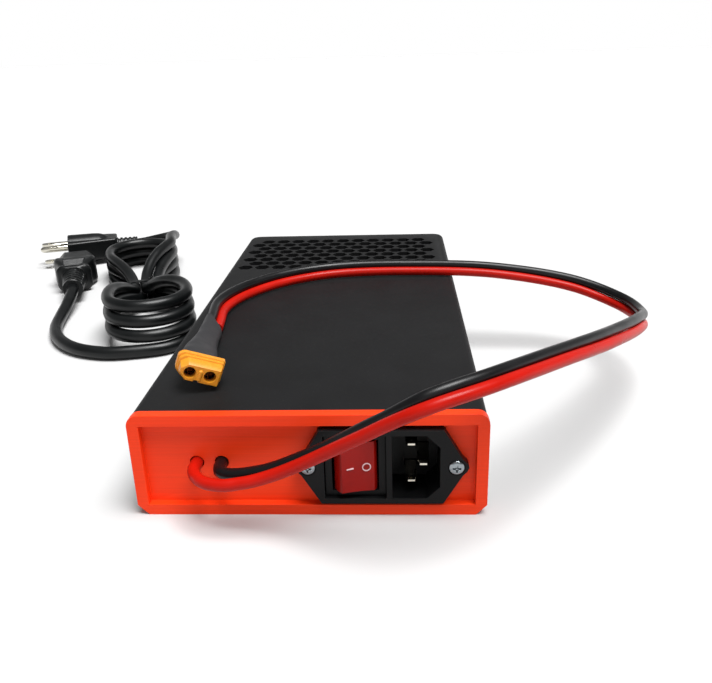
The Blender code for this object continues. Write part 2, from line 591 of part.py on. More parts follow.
def fan():
    top = SUPPLY_BASE + SUPPLY_HEIGHT - 0.8 - 0.4
    bottom = top - 14.8
    frame = box("fan_frame", (FAN_X - FAN_HALF, FAN_X + FAN_HALF),
                (FAN_DEPTH - FAN_HALF, FAN_DEPTH + FAN_HALF), (bottom, top), BLACK_MOULDING)
    cut(frame, cylinder("fan_bore", (FAN_X, FAN_DEPTH, bottom - 1), 17, FAN_BORE, sides=40))
    for label, wide, deep in (("across", FAN_HALF - 0.5, 1.3), ("along", 1.3, FAN_HALF - 0.5)):
        join(frame, box(f"fan_strut_{label}", (FAN_X - wide, FAN_X + wide),
                        (FAN_DEPTH - deep, FAN_DEPTH + deep), (bottom, bottom + 1.6)))
    join(frame, cylinder("fan_seat", (FAN_X, FAN_DEPTH, bottom), 1.8, 14, sides=24))

    hub_low, hub_high, blades = bottom + 2.2, top - 1.0, 7
    rotor = cylinder("fan_rotor", (FAN_X, FAN_DEPTH, hub_low), hub_high - hub_low, 13.5,
                     surface=BLACK_MOULDING, sides=28)
    for number in range(blades):
        shape = bmesh.new()
        bmesh.ops.create_cube(shape, size=1.0)
        bmesh.ops.scale(shape, vec=Vector((15.0, 11.5, 1.2)) * MM, verts=shape.verts)
        swing = Matrix.Rotation(2 * math.pi * number / blades, 4, "Z")
        pitch = Matrix.Rotation(math.radians(38), 4, "X")
        spot = Matrix.Translation(place(FAN_X, FAN_DEPTH, (hub_low + hub_high) / 2))
        bmesh.ops.transform(shape, verts=shape.verts,
                            matrix=spot @ swing @ Matrix.Translation((20.0 * MM, 0, 0)) @ pitch)
        join(rotor, keep(f"fan_blade_{number}", mesh_from(shape, f"fan_blade_{number}")))


def fixing_screws():
    profile = [(0, 0.3), (3.7, 0.3), (3.6, 0.5), (2.0, 2.1), (2.0, 6.6), (0, 6.9)]
    for number, (x, depth) in enumerate(FIXING_PLACES, 1):
        turned(f"fixing_screw_{number}", profile, (x, depth, 0), "z", PLATED_STEEL, steps=16)


def inner_wires():
    wire("wire_positive", [(RED_HOLE_X, 3.35, 19.2), (RED_HOLE_X, 12, 19.2), (-39.6, 22, 20.6),
                           (terminal_x(0), 29.5, 20.8), (terminal_x(0), 34.0, 19.4)],
         LEAD_DIAMETER, RED_SILICONE)
    wire("wire_negative", [(BLACK_HOLE_X, 3.35, 19.2), (BLACK_HOLE_X, 12, 19.2), (-25, 21.5, 20.8),
                           (-15.5, 26.5, 21.6), (terminal_x(3), 30.6, 20.8), (terminal_x(3), 34.0, 19.4)],
         LEAD_DIAMETER, BLACK_SILICONE)
    wire("wire_line", [(20.8, 24.9, 25.1), (21.0, 27.0, 25.8), (25, 28.8, 28.4), (31, 30.4, 28.2),
                       (terminal_x(8), 31.8, 24), (terminal_x(8), 32.6, 20.6), (terminal_x(8), 34.0, 18.4)],
         2.8, BLACK_SILICONE)
    wire("wire_neutral", [(34.8, 24.2, 12.1), (34.6, 27.2, 12.4), (31.5, 29.4, 15), (27.8, 30.3, 18.6),
                          (terminal_x(7), 31.8, 19.8), (terminal_x(7), 34.0, 18.4)], 2.8, WHITE_WIRE)
    wire("wire_earth", [(38.8, 24.2, 19.1), (38.4, 27.0, 19.6), (33, 28.4, 22.6), (25, 28.6, 23.2),
                        (18.5, 29.6, 21.6), (terminal_x(6), 31.8, 19.6), (terminal_x(6), 34.0, 18.4)],
         2.8, GREEN_WIRE)


# --- output lead and its connector ---------------------------------------------------------------
def lead_pair():
    """The red and the black wire, read off the pair's middle line."""
    middle = [place(*point[:3]) for point in LEAD_ROUTE]
    line = smooth_route(middle, 0.5 * MM)
    marks = [min(range(len(line)), key=lambda index, spot=spot: (line[index] - spot).length)
             for spot in middle]
    red, black = [], []
    for index, spot in enumerate(line):
        back, ahead = line[max(0, index - 2)], line[min(len(line) - 1, index + 2)]
        run = (ahead - back).normalized()
        stretch = max(number for number, mark in enumerate(marks) if mark <= index)
        stretch = min(stretch, len(marks) - 2)
        share = (index - marks[stretch]) / (marks[stretch + 1] - marks[stretch])
        lean, pitch = lean_at(stretch + share)
        side = Vector((0, 0, 1)).cross(run).normalized()
        offset = side * math.cos(lean) + run.cross(side) * math.sin(lean)
        red.append(spot - offset * pitch * MM / 2)
        black.append(spot + offset * pitch * MM / 2)
    return red, black


def lean_at(place_along):
    """Lean in radians and spacing, eased between the route's points."""
    number = min(int(place_along), len(LEAD_ROUTE) - 2)
    share = place_along - number
    share = share * share * (3 - 2 * share)
    first, second = LEAD_ROUTE[number], LEAD_ROUTE[number + 1]
    return (math.radians(first[3] + (second[3] - first[3]) * share),
            first[4] + (second[4] - first[4]) * share)


def connector_matrix():
    return (Matrix.Translation(place(*CONNECTOR_NOSE)) @ Matrix.Rotation(math.radians(CONNECTOR_YAW), 4, "Z")
            @ Matrix.Rotation(math.radians(CONNECTOR_ROLL), 4, "Y"))


def connector_outline(half_width, half_height, chamfer):
    return [(chamfer - half_width, -half_height), (half_width, -half_height), (half_width, half_height),
            (chamfer - half_width, half_height), (-half_width, half_height - chamfer),
            (-half_width, chamfer - half_height)]


def output_connector():
    frame = connector_matrix()
    stand = Matrix(((1, 0, 0, 0), (0, 0, 1, 0), (0, 1, 0, 0), (0, 0, 0, 1)))
    made = plate("connector_housing", connector_outline(7.3, 3.8, 2.7), CONNECTOR_LENGTH - 1, frame @ stand,
                 YELLOW_NYLON)
    rim = plate("connector_rim", connector_outline(8.1, 4.1, 2.7), 1.6,
                frame @ Matrix.Translation((0, (CONNECTOR_LENGTH - 1.6) * MM, 0)) @ stand)
    join(made, rim)
    for label, side in (("negative", -1), ("positive", 1)):
        spot = frame @ Matrix.Translation((side * CONTACT_PITCH / 2 * MM, 0, 0))
        cut(made, round_bar(f"contact_hole_{label}", spot, -1, 10.3, 2.3))
        contact = round_bar(f"connector_contact_{label}", spot, 0.5, 8.5, 2.0, GOLD_PLATE)
        cut(contact, round_bar(f"contact_bore_{label}", spot, -1, 8.0, 1.6))


def round_bar(name, matrix, start, length, radius, surface=None):
    """A bar along the matrix's local +Y."""
    shape = bmesh.new()
    bmesh.ops.create_cone(shape, cap_ends=True, segments=16, radius1=radius * MM, radius2=radius * MM,
                          depth=length * MM)
    lay = Matrix.Translation((0, (start + length / 2) * MM, 0)) @ AXIS_TURN["y"]
    bmesh.ops.transform(shape, matrix=matrix @ lay, verts=shape.verts)
    return keep(name, mesh_from(shape, name), surface)


def heat_shrink(red_end, black_end):
    """A sleeve that flares from round the two wires to the back of the connector."""
    frame = connector_matrix()
    start = frame @ Vector((0, (CONNECTOR_LENGTH + GAP) * MM, 0))
    finish = (red_end + black_end) / 2
    start_side = (frame.to_3x3() @ Vector((-1, 0, 0))).normalized()
    finish_side = (black_end - red_end).normalized()
    start_run = (frame.to_3x3() @ Vector((0, 1, 0))).normalized()
    finish_run = Vector((-0.06, 1, 0)).normalized()
    finish = finish - finish_run * 0.4 * MM
    rings, sides = 9, 20
    span = (finish - start).length
    shape = bmesh.new()
    loops = []
    for ring in range(rings):
        share = ring / (rings - 1)
        easy = share * share * (3 - 2 * share)
        first = start + start_run * span * share
        second = finish - finish_run * span * (1 - share)
        middle = first.lerp(second, easy)
        run = start_run.lerp(finish_run, easy).normalized()
        side = start_side.lerp(finish_side, easy)
        side = (side - run * side.dot(run)).normalized()
        up = run.cross(side)
        flare = (1 - share) ** 1.3
        wide, high = (4.7 + 2.7 * flare) * MM, (2.6 + 1.1 * flare) * MM
        loops.append([shape.verts.new(middle + side * wide * math.cos(turn) + up * high * math.sin(turn))
                      for turn in (2 * math.pi * number / sides for number in range(sides))])
    for near, far in zip(loops, loops[1:]):
        for number in range(sides):
            after = (number + 1) % sides
            shape.faces.new((near[number], near[after], far[after], far[number]))
    shape.faces.new(loops[0])
    shape.faces.new(loops[-1])
    bmesh.ops.recalc_face_normals(shape, faces=shape.faces)
    smooth(keep("heat_shrink", mesh_from(shape, "heat_shrink"), GREY_SLEEVE))


def output_lead():
    red, black = lead_pair()
    tube("lead_positive", resample(red, LEAD_DIAMETER * 1.75 * MM), LEAD_DIAMETER, RED_SILICONE)
    tube("lead_negative", resample(black, LEAD_DIAMETER * 1.75 * MM), LEAD_DIAMETER, BLACK_SILICONE)
    heat_shrink(red[-1], black[-1])
    output_connector()


# --- mains lead ----------------------------------------------------------------------------------
def hank_frame():
    return Matrix.Translation(place(*HANK_CENTRE, 0)) @ Matrix.Rotation(math.radians(HANK_TURN), 4, "Z")


def into_hank(made):
    """Move a piece modelled about the origin into the hank's frame."""
    made.data.transform(hank_frame() @ Matrix.Translation((0, LENGTH / 2 * MM, 0)))
    return made


def hank_box(name, x, y, z, surface=None, bevel=0.0):
    return into_hank(box(name, x, y, z, surface, bevel))


def pinch(along):
    """How far the hank is drawn in by its tie: 1 at the middle, 0 where its runs are straight."""
    return (1 + math.cos(math.pi * min(1.0, abs(along) / WAIST_REACH))) / 2


def hank_outline():
    """Round ends, and sides that draw in towards the tie, anticlockwise from the right of the near end."""
    centre = HANK_HALF_LENGTH - HANK_HALF_WIDTH
    right = [(HANK_HALF_WIDTH + (WAIST_HALF_WIDTH - HANK_HALF_WIDTH) * pinch(along), along)
             for along in (centre * step / 8 for step in range(-8, 9))]
    turns = [math.radians(15 * step) for step in range(1, 12)]
    top = [(HANK_HALF_WIDTH * math.cos(turn), centre + HANK_HALF_WIDTH * math.sin(turn)) for turn in turns]
    return right + top + [(-x, -y) for x, y in right + top]


def mains_cord():
    flat = hank_frame()
    hank = plate("mains_hank", hank_outline(), HANK_HEIGHT, flat @ Matrix.Translation((0, 0, 0.1 * MM)),
                 BLACK_PVC)
    saddle = [(along, WAIST_HEIGHT + (HANK_HEIGHT - WAIST_HEIGHT) * (1 - pinch(along)))
              for along in (WAIST_REACH * step / 6 for step in range(-6, 7))]
    sideways = Matrix(((0, 0, 1, 0), (1, 0, 0, 0), (0, 1, 0, 0), (0, 0, 0, 1)))
    cutter = plate("hank_saddle", saddle + [(WAIST_REACH, 40), (-WAIST_REACH, 40)], 60,
                   flat @ Matrix.Translation((-30 * MM, 0, 0)) @ sideways)
    cut(hank, cutter, hank_box("waist_under", (-30, 30), (-2.6, 2.6), (-5, 1.2)))
    tie = hank_box("twist_tie", (-15.9, 15.9), (-2, 2), (0.1, 15.6), BLACK_PVC)
    cut(tie, hank_box("tie_hollow", (-15.2, 15.2), (-5, 5), (0.8, 14.9)))
    for name, route in (("c13_cord", C13_ROUTE), ("plug_cord", PLUG_ROUTE)):
        points = smooth_route([flat @ (Vector(point) * MM) for point in route], CORD_DIAMETER * MM)
        tube(name, points, CORD_DIAMETER, BLACK_PVC)


def c13_connector():
    nose = hank_box("c13_connector", (C13_X - 12, C13_X + 12), (C13_FRONT - 19.5, C13_FRONT),
                    (C13_Z - 8, C13_Z + 8), BLACK_PVC)
    right = [(13.5, 19.0), (13.4, 23.5), (9.7, 34.5), (9.5, 37.0), (10.8, 39.2), (10.7, 41.6), (8.0, 43.2)]
    outline = [(x, -y) for x, y in right] + [(-x, -y) for x, y in reversed(right)]
    grip = plate("c13_grip", outline, 18.4,
                 hank_frame() @ Matrix.Translation(Vector((C13_X, C13_FRONT, C13_Z - 9.2)) * MM))
    relief = cylinder("c13_relief", (C13_X, C13_FRONT - 67.5, C13_Z), 25, 6.2, "y", end_radius=7.6)
    join(nose, grip, into_hank(relief))
    for number, (across, up) in enumerate(((-7, -2), (7, -2), (0, 2)), 1):
        x, z = C13_X + across, C13_Z + up
        cut(nose, hank_box(f"c13_slot_{number}", (x - 1.3, x + 1.3), (C13_FRONT - 15, C13_FRONT + 1),
                           (z - 2.3, z + 2.3)))


def plug():
    near, far = PLUG_FACE, PLUG_FACE + 35
    outline = [(near, -14.7), (near + 2, -14.7), (far, -9.0), (far, 9.0), (near + 2, 14.7), (near, 14.7)]
    body = plate("mains_plug", outline, 15.0,
                 hank_frame() @ Matrix.Translation(Vector((0, PLUG_Y, PLUG_Z - 7.5)) * MM), BLACK_PVC)
    barrel = cylinder("plug_barrel", (near, PLUG_Y, PLUG_Z), 31, 10.6, "x", end_radius=9.0)
    relief = cylinder("plug_relief", (far - 1, PLUG_Y, PLUG_Z), 15.8, 5.2, "x", end_radius=4.9)
    join(body, into_hank(barrel), into_hank(relief))
    for label, rise in (("line", 6.35), ("neutral", -6.35)):
        low, high = PLUG_Y - 5.9 - 3.2, PLUG_Y - 5.9 + 3.2
        z = PLUG_Z + rise
        cut(body, hank_box(f"plug_{label}_slot", (near - 1, near + 3), (low - GAP, high + GAP),
                           (z - 1.05, z + 1.05)))
        hank_box(f"plug_blade_{label}", (near - 17.8, near + 2.6), (low, high), (z - 0.75, z + 0.75),
                 NICKEL_BRASS)
    ground = (PLUG_Y + 6, PLUG_Z)
    cut(body, into_hank(cylinder("plug_ground_hole", (near - 1, *ground), 4, 2.75, "x", sides=16)))
    into_hank(cylinder("plug_ground_pin", (near - 21, *ground), 23.6, 2.4, "x", NICKEL_BRASS, sides=16))


case_shell()
front_bezel()
inlet_housing()
inlet_pins()
inlet_screws()
rocker_switch()
supply_case()
terminal_block()
board_controls()
power_parts()
fan()
fixing_screws()
inner_wires()
output_lead()
mains_cord()
c13_connector()
plug()
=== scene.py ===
"""Looks for the 12 V charger supply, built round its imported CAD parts.

Sizes are in millimetres and are turned into metres by MM.  Places on the charger are given as x, depth
behind the bezel's front face and height above the table, and places on the mains lead in its hank's own
frame: across, along and up.
"""
import json
import math

import bmesh
import bpy
from mathutils import Matrix, Vector


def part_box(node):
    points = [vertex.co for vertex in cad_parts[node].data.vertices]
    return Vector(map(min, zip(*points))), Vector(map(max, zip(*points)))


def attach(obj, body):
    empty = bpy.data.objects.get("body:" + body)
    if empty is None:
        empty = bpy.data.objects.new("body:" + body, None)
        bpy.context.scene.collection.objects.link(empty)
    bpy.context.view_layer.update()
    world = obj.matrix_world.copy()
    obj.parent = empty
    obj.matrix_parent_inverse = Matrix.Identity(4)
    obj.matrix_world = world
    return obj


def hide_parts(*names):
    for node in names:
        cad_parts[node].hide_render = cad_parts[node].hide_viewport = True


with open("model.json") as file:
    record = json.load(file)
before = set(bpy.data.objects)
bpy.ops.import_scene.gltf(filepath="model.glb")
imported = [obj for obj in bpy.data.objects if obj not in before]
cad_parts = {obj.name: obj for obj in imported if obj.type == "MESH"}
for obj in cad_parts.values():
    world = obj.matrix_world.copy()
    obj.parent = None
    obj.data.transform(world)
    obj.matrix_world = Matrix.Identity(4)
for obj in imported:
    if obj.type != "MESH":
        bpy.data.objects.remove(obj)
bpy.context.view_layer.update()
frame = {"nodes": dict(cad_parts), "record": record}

MM = 0.001
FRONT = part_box("front_bezel")[0][1]

# --- camera ---------------------------------------------------------------------------------------
CAMERA_PLACE = (29.6, -222.8, 153.4)
CAMERA_PITCH, CAMERA_YAW, CAMERA_ROLL = 21.74, -3.13, -1.76     # degrees
CAMERA_LENS = 38.64

# --- output lead ----------------------------------------------------------------------------------
LEAD_DIAMETER = 4.2
RED_HOLE_X, BLACK_HOLE_X, WIRE_HOLE_Z = -38.7, -30.1, 19.2
# x, depth and z of the pair's middle line, then how far the black wire leans from beside the red one
# (0 = on the left of the way it runs, 90 = above), and their spacing.
LEAD_ROUTE = [
    (-34.4, 2.4, 19.2, 0, 8.6), (-34.3, -2.0, 19.2, 0, 8.6), (-32.2, -5.8, 19.1, 0, 7.9),
    (-27.2, -8.1, 19.1, 0, 7.0), (-20.5, -8.9, 20.1, 2, 5.6), (-12.0, -9.4, 22.4, 5, 4.4),
    (2.5, -11.8, 29.8, 6, 4.3), (21.1, -18.2, 42.8, 14, 4.3), (38.7, -22.6, 54.1, 21, 4.3),
    (57.4, -14.2, 56.9, 23, 4.3), (82.2, 12.0, 53.2, 30, 4.3), (109.4, 47.0, 46.0, 45, 4.3),
    (131.7, 83.3, 37.9, 66, 4.3), (142.6, 113.0, 30.6, 90, 4.3), (139.6, 137.0, 29.6, 111, 4.3),
    (119.8, 151.0, 34.6, 126, 4.3), (79.9, 155.5, 40.8, 138, 4.3), (36.1, 157.6, 42.2, 140, 4.3),
    (-0.3, 155.0, 42.2, 136, 4.3), (-24.7, 142.4, 42.2, 131, 4.3), (-41.2, 122.9, 42.2, 129, 4.3),
    (-48.2, 103.2, 42.2, 130, 4.3), (-46.8, 80.0, 42.2, 132, 4.3),
]
LEAD_START_INSIDE, LEAD_END_INSIDE = 0.85, 4.0      # how far the wires run on into the bezel and the sleeve

CONNECTOR_NOSE = (-38.6, 18.4, 45.1)
CONNECTOR_YAW, CONNECTOR_ROLL = 15.7, 21.4          # degrees
CONTACT_PITCH = 7.2
SLEEVE_START = 7.9                                  # behind the mating face
SLEEVE_HALF_WIDTH, SLEEVE_HALF_HEIGHT = 4.65, 2.55  # where it is tight round the wires
COLLAR_SHARE, FLARE_SHARE = 0.12, 0.6               # of its length: the collar, then the flare behind it
COLLAR_WIDER, COLLAR_HIGHER = 0.6, 0.8
FLARE_WIDER, FLARE_HIGHER = 2.55, 0.85
SLEEVE_WALL = 0.35
ASKEW = 0.15                                        # how much shorter the sleeve is on the red side

# --- mains lead, in the hank's own frame ------------------------------------------------------------
CORD_DIAMETER = 7.0
CORD_END_INSIDE = 6.0                               # how far each end runs on into its connector
HANK_CENTRE, HANK_TURN = (-127.0, 233.0), 19.0
BEND_RADIUS, LAYER = 21.0, 7.1                      # of the hank's end loops, and from strand to strand
FIRST_LAYER_UP, WAIST_LIFT = 3.6, 0.9
WAIST_STRAND = 10.7                                 # the outer strands' distance from the middle at the tie
WAIST_REACH = 58.0                                  # how far each way from the tie the hank is drawn in
TOP_ACROSS, TOP_UP = 7.15, 10.65                    # the two top corner strands at the tie
UPPER_LOOPS, LOWER_LOOPS = (73.0, 69.5, 65.0), (73.0, 71.0, 68.0, 64.0)
# Which way each strand lies from the one before it: on top of it away from the tie, and beside it or in
# the groove at the tie.
RIGHT_STACK, LEFT_STACK = ((90, 180), (90, 60), (90, 180)), ((90, 0), (90, 120))
C13_X, C13_Z, C13_FRONT = -45.0, 9.6, 82.0
C13_LENGTH = 67.5
PLUG_Y, PLUG_Z, PLUG_FACE = 116.0, 11.2, -51.5
PLUG_LENGTH = 49.8
BLADE_ACROSS, BLADE_HALF_PITCH, GROUND_ACROSS = 5.9, 6.35, -6.0     # from the plug's middle
C13_ROUTE = [(-45, 13.4, 9.6), (-45.2, 8, 9.3), (-46.2, 1, 8.3), (-48.4, -10, 6.0), (-51, -23, 4.2),
             (-52.6, -38, 3.6), (-51.4, -53, 3.6), (-47, -67, 3.6), (-39.5, -79, 3.6), (-31, -86.4, 3.6),
             (-21, -91.5, 3.6)]
LAST_RUN = [(21.5, 70, 24.4), (24.0, 82, 22.6), (25.2, 93, 20.0)]
PLUG_ROUTE = [(22.8, 103, 17.2), (16.8, 110.6, 14.6), (9.5, 114.6, 12.6), (3.5, 115.9, 11.5),
              (-0.9, 116, 11.2)]

# --- switched inlet ---------------------------------------------------------------------------------
INLET_Z = 19.1
SWITCH_X, ROCKER_PIVOT, ROCKER_FACE, ROCKER_TILT = 15.8, 4.3, 5.2, 11.5

# --- light ------------------------------------------------------------------------------------------
# Each sun's strength and spread, then how far its rays lean back and to the left, in degrees.
SUNS = {"overhead": (6.0, 36, 9, 14), "front_fill": (0.2, 60, 62, 8)}


def place(x, depth, z):
    """A point of the charger, in metres."""
    return Vector((x * MM, FRONT + depth * MM, z * MM))


def make_camera():
    data = bpy.data.cameras.new("photo_camera")
    data.lens = CAMERA_LENS
    data.sensor_width = 36.0
    data.clip_start, data.clip_end = 0.01, 20.0
    camera = bpy.data.objects.new("photo_camera", data)
    bpy.context.collection.objects.link(camera)
    turn = (Matrix.Rotation(math.radians(-CAMERA_YAW), 4, "Z")
            @ Matrix.Rotation(math.radians(90 - CAMERA_PITCH), 4, "X")
            @ Matrix.Rotation(math.radians(CAMERA_ROLL), 4, "Z"))
    camera.matrix_world = Matrix.Translation(place(*CAMERA_PLACE)) @ turn
    bpy.context.scene.camera = camera


# --- materials --------------------------------------------------------------------------------------
def look(slot, colour, roughness, metallic=0.0, tint=0.14, patch=220.0, grain=2600.0, bump=0.25,
         stretch=(1.0, 1.0, 1.0), gloss_spread=0.12, dust=0.0, **fixed):
    """A surface with patchy colour, uneven gloss, fine grain and, if wanted, specks of dust.

    patch and grain are how many blotches and grains there are in a metre, stretch thins them along an
    axis, and fixed holds values that are the same all over, by the shader's own socket names.
    """
    made = bpy.data.materials.new(slot + "_look")
    made.use_nodes = True
    nodes, links = made.node_tree.nodes, made.node_tree.links
    shader = nodes["Principled BSDF"]
    shader.inputs["Metallic"].default_value = metallic
    for name, value in fixed.items():
        shader.inputs[name.replace("_", " ")].default_value = value

    where = nodes.new("ShaderNodeTexCoord")
    spread = nodes.new("ShaderNodeMapping")
    spread.inputs["Scale"].default_value = stretch
    links.new(where.outputs["Object"], spread.inputs["Vector"])

    def noise(scale, detail):
        made_noise = nodes.new("ShaderNodeTexNoise")
        made_noise.inputs["Scale"].default_value = scale
        made_noise.inputs["Detail"].default_value = detail
        links.new(spread.outputs["Vector"], made_noise.inputs["Vector"])
        return made_noise.outputs["Fac"]

    def between(factor, low, high, start=0.3, stop=0.7):
        scaled = nodes.new("ShaderNodeMapRange")
        for name, value in (("From Min", start), ("From Max", stop), ("To Min", low), ("To Max", high)):
            scaled.inputs[name].default_value = value
        links.new(factor, scaled.inputs["Value"])
        return scaled.outputs["Result"]

    def blend_colours(factor, first, second):
        mix = nodes.new("ShaderNodeMix")
        mix.data_type = "RGBA"
        for number, value in ((6, first), (7, second)):
            if isinstance(value, bpy.types.NodeSocket):
                links.new(value, mix.inputs[number])
            else:
                mix.inputs[number].default_value = (*value, 1.0)
        links.new(factor, mix.inputs[0])
        return mix.outputs[2]

    patches, grains = noise(patch, 3.0), noise(grain, 2.0)
    darker = [value * (1 - tint) for value in colour]
    lighter = [min(1.0, value * (1 + tint)) for value in colour]
    shade = blend_colours(between(patches, 0.0, 1.0), darker, lighter)
    if dust:
        specks = between(noise(grain * 0.55, 0.0), 0.0, dust, 0.78, 0.84)
        shade = blend_colours(specks, shade, (0.35, 0.35, 0.34))
    links.new(shade, shader.inputs["Base Color"])
    low, high = max(0.03, roughness - gloss_spread / 2), min(1.0, roughness + gloss_spread / 2)
    links.new(between(patches, low, high), shader.inputs["Roughness"])
    relief = nodes.new("ShaderNodeBump")
    relief.inputs["Strength"].default_value = bump
    relief.inputs["Distance"].default_value = 0.05 * MM
    links.new(grains, relief.inputs["Height"])
    links.new(relief.outputs["Normal"], shader.inputs["Normal"])
    return made


LAYERS = (0.02, 0.02, 1.0)      # printed layers: long along the table, thin upwards
BRUSHED = (1.0, 0.05, 1.0)
LOOKS = {
    "black_print": look("black_print", (0.0062, 0.0062, 0.0066), 0.55, patch=60, grain=3400, bump=0.25,
                        dust=0.08, Specular_IOR_Level=0.16),
    "orange_print": look("orange_print", (0.80, 0.040, 0.004), 0.42, tint=0.05, patch=1600, grain=3600,
                         stretch=LAYERS, bump=0.5, Specular_IOR_Level=0.2),
    "black_moulding": look("black_moulding", (0.0036, 0.0037, 0.0040), 0.4, grain=5200, bump=0.3,
                           Specular_IOR_Level=0.16),
    "red_rocker": look("red_rocker", (0.25, 0.004, 0.002), 0.16, tint=0.08, grain=1200, bump=0.04,
                       gloss_spread=0.06, Specular_IOR_Level=0.16, Coat_Weight=0.05, Coat_Roughness=0.06),
    "plated_steel": look("plated_steel", (0.31, 0.34, 0.36), 0.16, 1.0, tint=0.05, grain=4000, bump=0.06),
    "nickel_brass": look("nickel_brass", (0.70, 0.67, 0.58), 0.1, 1.0, tint=0.06, grain=5000, bump=0.04,
                         gloss_spread=0.06, stretch=BRUSHED),
    # the supply's cover is made near black so that the vent holes look dark: painted shade, not the sheet's
    # own colour
    "supply_sheet": look("supply_sheet", (0.040, 0.041, 0.044), 0.55, 0.6, tint=0.3, patch=900, bump=0.2),
    "circuit_board": look("circuit_board", (0.26, 0.19, 0.06), 0.5, tint=0.2, grain=2000),
    "ferrite": look("ferrite", (0.045, 0.045, 0.05), 0.7, tint=0.2, bump=0.5),
    "yellow_tape": look("yellow_tape", (0.72, 0.55, 0.07), 0.35, tint=0.08, stretch=LAYERS),
    "capacitor_sleeve": look("capacitor_sleeve", (0.03, 0.04, 0.09), 0.3, tint=0.1, Coat_Weight=0.3),
    "copper_winding": look("copper_winding", (0.48, 0.17, 0.05), 0.3, 0.85, tint=0.25, grain=1100, bump=0.8),
    "aluminium": look("aluminium", (0.70, 0.71, 0.72), 0.35, 1.0, tint=0.08, stretch=BRUSHED),
    "blue_trimmer": look("blue_trimmer", (0.03, 0.14, 0.42), 0.4),
    "red_silicone": look("red_silicone", (0.38, 0.006, 0.002), 0.32, tint=0.07, patch=90, grain=3000,
                         bump=0.08, Specular_IOR_Level=0.14),
    "black_silicone": look("black_silicone", (0.0035, 0.0035, 0.0040), 0.34, patch=90, grain=3000, bump=0.08,
                           Specular_IOR_Level=0.28),
    "green_wire": look("green_wire", (0.03, 0.30, 0.06), 0.45),
    "white_wire": look("white_wire", (0.72, 0.72, 0.68), 0.45),
    "grey_sleeve": look("grey_sleeve", (0.019, 0.0187, 0.0205), 0.5, tint=0.12, patch=150, grain=2200,
                        bump=0.25, Specular_IOR_Level=0.3),
    "yellow_nylon": look("yellow_nylon", (0.60, 0.235, 0.014), 0.42, tint=0.06, patch=260, grain=3800,
                         bump=0.18, Specular_IOR_Level=0.35, Subsurface_Weight=0.12, Subsurface_Scale=0.0008),
    # gold_plate's base is dark brown rather than gold: painted shade for the deep sockets round the contacts
    "gold_plate": look("gold_plate", (0.34, 0.19, 0.10), 0.24, 1.0, tint=0.05, bump=0.03),
    "black_pvc": look("black_pvc", (0.0030, 0.0036, 0.0038), 0.33, tint=0.15, patch=120, grain=4200,
                      bump=0.16, Specular_IOR_Level=0.3),
}
MARKING = look("rocker_marking", (0.62, 0.42, 0.44), 0.4, tint=0.08)


# --- mesh helpers -----------------------------------------------------------------------------------
def mesh_from(shape, name):
    mesh = bpy.data.meshes.new(name)
    shape.to_mesh(mesh)
    shape.free()
    return mesh


def link(name, data):
    made = bpy.data.objects.new(name, data)
    bpy.context.collection.objects.link(made)
    return made


def piece(made, slot, *stands_for, body="root", surface=None):
    """Give a finished piece its material and tie it to the frame."""
    made.data.materials.clear()
    made.data.materials.append(surface or LOOKS[slot])
    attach(made, body)
    if stands_for:
        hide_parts(*stands_for)
    return made


def smooth(made, angle=35):
    made.data.shade_smooth()
    made.data.set_sharp_from_angle(angle=math.radians(angle))
    return made


def bake(made):
    """Make a piece's modifiers part of its mesh."""
    graph = bpy.context.evaluated_depsgraph_get()
    mesh = bpy.data.meshes.new_from_object(made.evaluated_get(graph))
    made.modifiers.clear()
    made.data = mesh
    return made


def combine(made, operation, *others):
    """Cut the others from a mesh, or join them to it, and remove them."""
    for other in others:
        step = made.modifiers.new(other.name, "BOOLEAN")
        step.operation = operation
        step.object = other
    bake(made)
    for other in others:
        bpy.data.objects.remove(other)
    return made


def cut(made, *cutters):
    return combine(made, "DIFFERENCE", *cutters)


def join(made, *others):
    return combine(made, "UNION", *others)


def soften(made, width, segments=3, angle=32):
    """Round the sharp edges."""
    smooth(made, angle)
    edge = made.modifiers.new("soft_edges", "BEVEL")
    edge.width = width * MM
    edge.segments = segments
    edge.limit_method = "ANGLE"
    edge.angle_limit = math.radians(angle)
    edge.harden_normals = True
    return made


def softened(node, width, slot, body="root", segments=3):
    """A copy of a CAD node with its flat faces made whole and its edges rounded, in the node's place."""
    shape = bmesh.new()
    shape.from_mesh(frame["nodes"][node].data)
    bmesh.ops.remove_doubles(shape, verts=shape.verts, dist=1e-6)
    bmesh.ops.dissolve_limit(shape, angle_limit=math.radians(1), verts=shape.verts, edges=shape.edges)
    made = soften(link(node + "_finish", mesh_from(shape, node + "_finish")), width, segments)
    return piece(made, slot, node, body=body)


def loft(rings, ends="capped"):
    """A skin over rings of points, its two ends capped, open, or joined to each other."""
    shape = bmesh.new()
    loops = [[shape.verts.new(point) for point in ring] for ring in rings]
    following = loops[1:] + loops[:1] if ends == "joined" else loops[1:]
    for near, far in zip(loops, following):
        for number in range(len(near)):
            after = (number + 1) % len(near)
            shape.faces.new((near[number], near[after], far[after], far[number]))
    if ends == "capped":
        shape.faces.new(loops[0])
        shape.faces.new(loops[-1])
    bmesh.ops.recalc_face_normals(shape, faces=shape.faces)
    return shape


def rounded(outline, radius, steps=4):
    """The outline with each corner turned into a short curve."""
    points = []
    for number, corner in enumerate(outline):
        here = Vector(corner)
        before, after = Vector(outline[number - 1]), Vector(outline[(number + 1) % len(outline)])
        start = here + (before - here).normalized() * radius
        stop = here + (after - here).normalized() * radius
        for step in range(steps + 1):
            share = step / steps
            points.append(start * (1 - share) ** 2 + here * 2 * share * (1 - share) + stop * share ** 2)
    return points


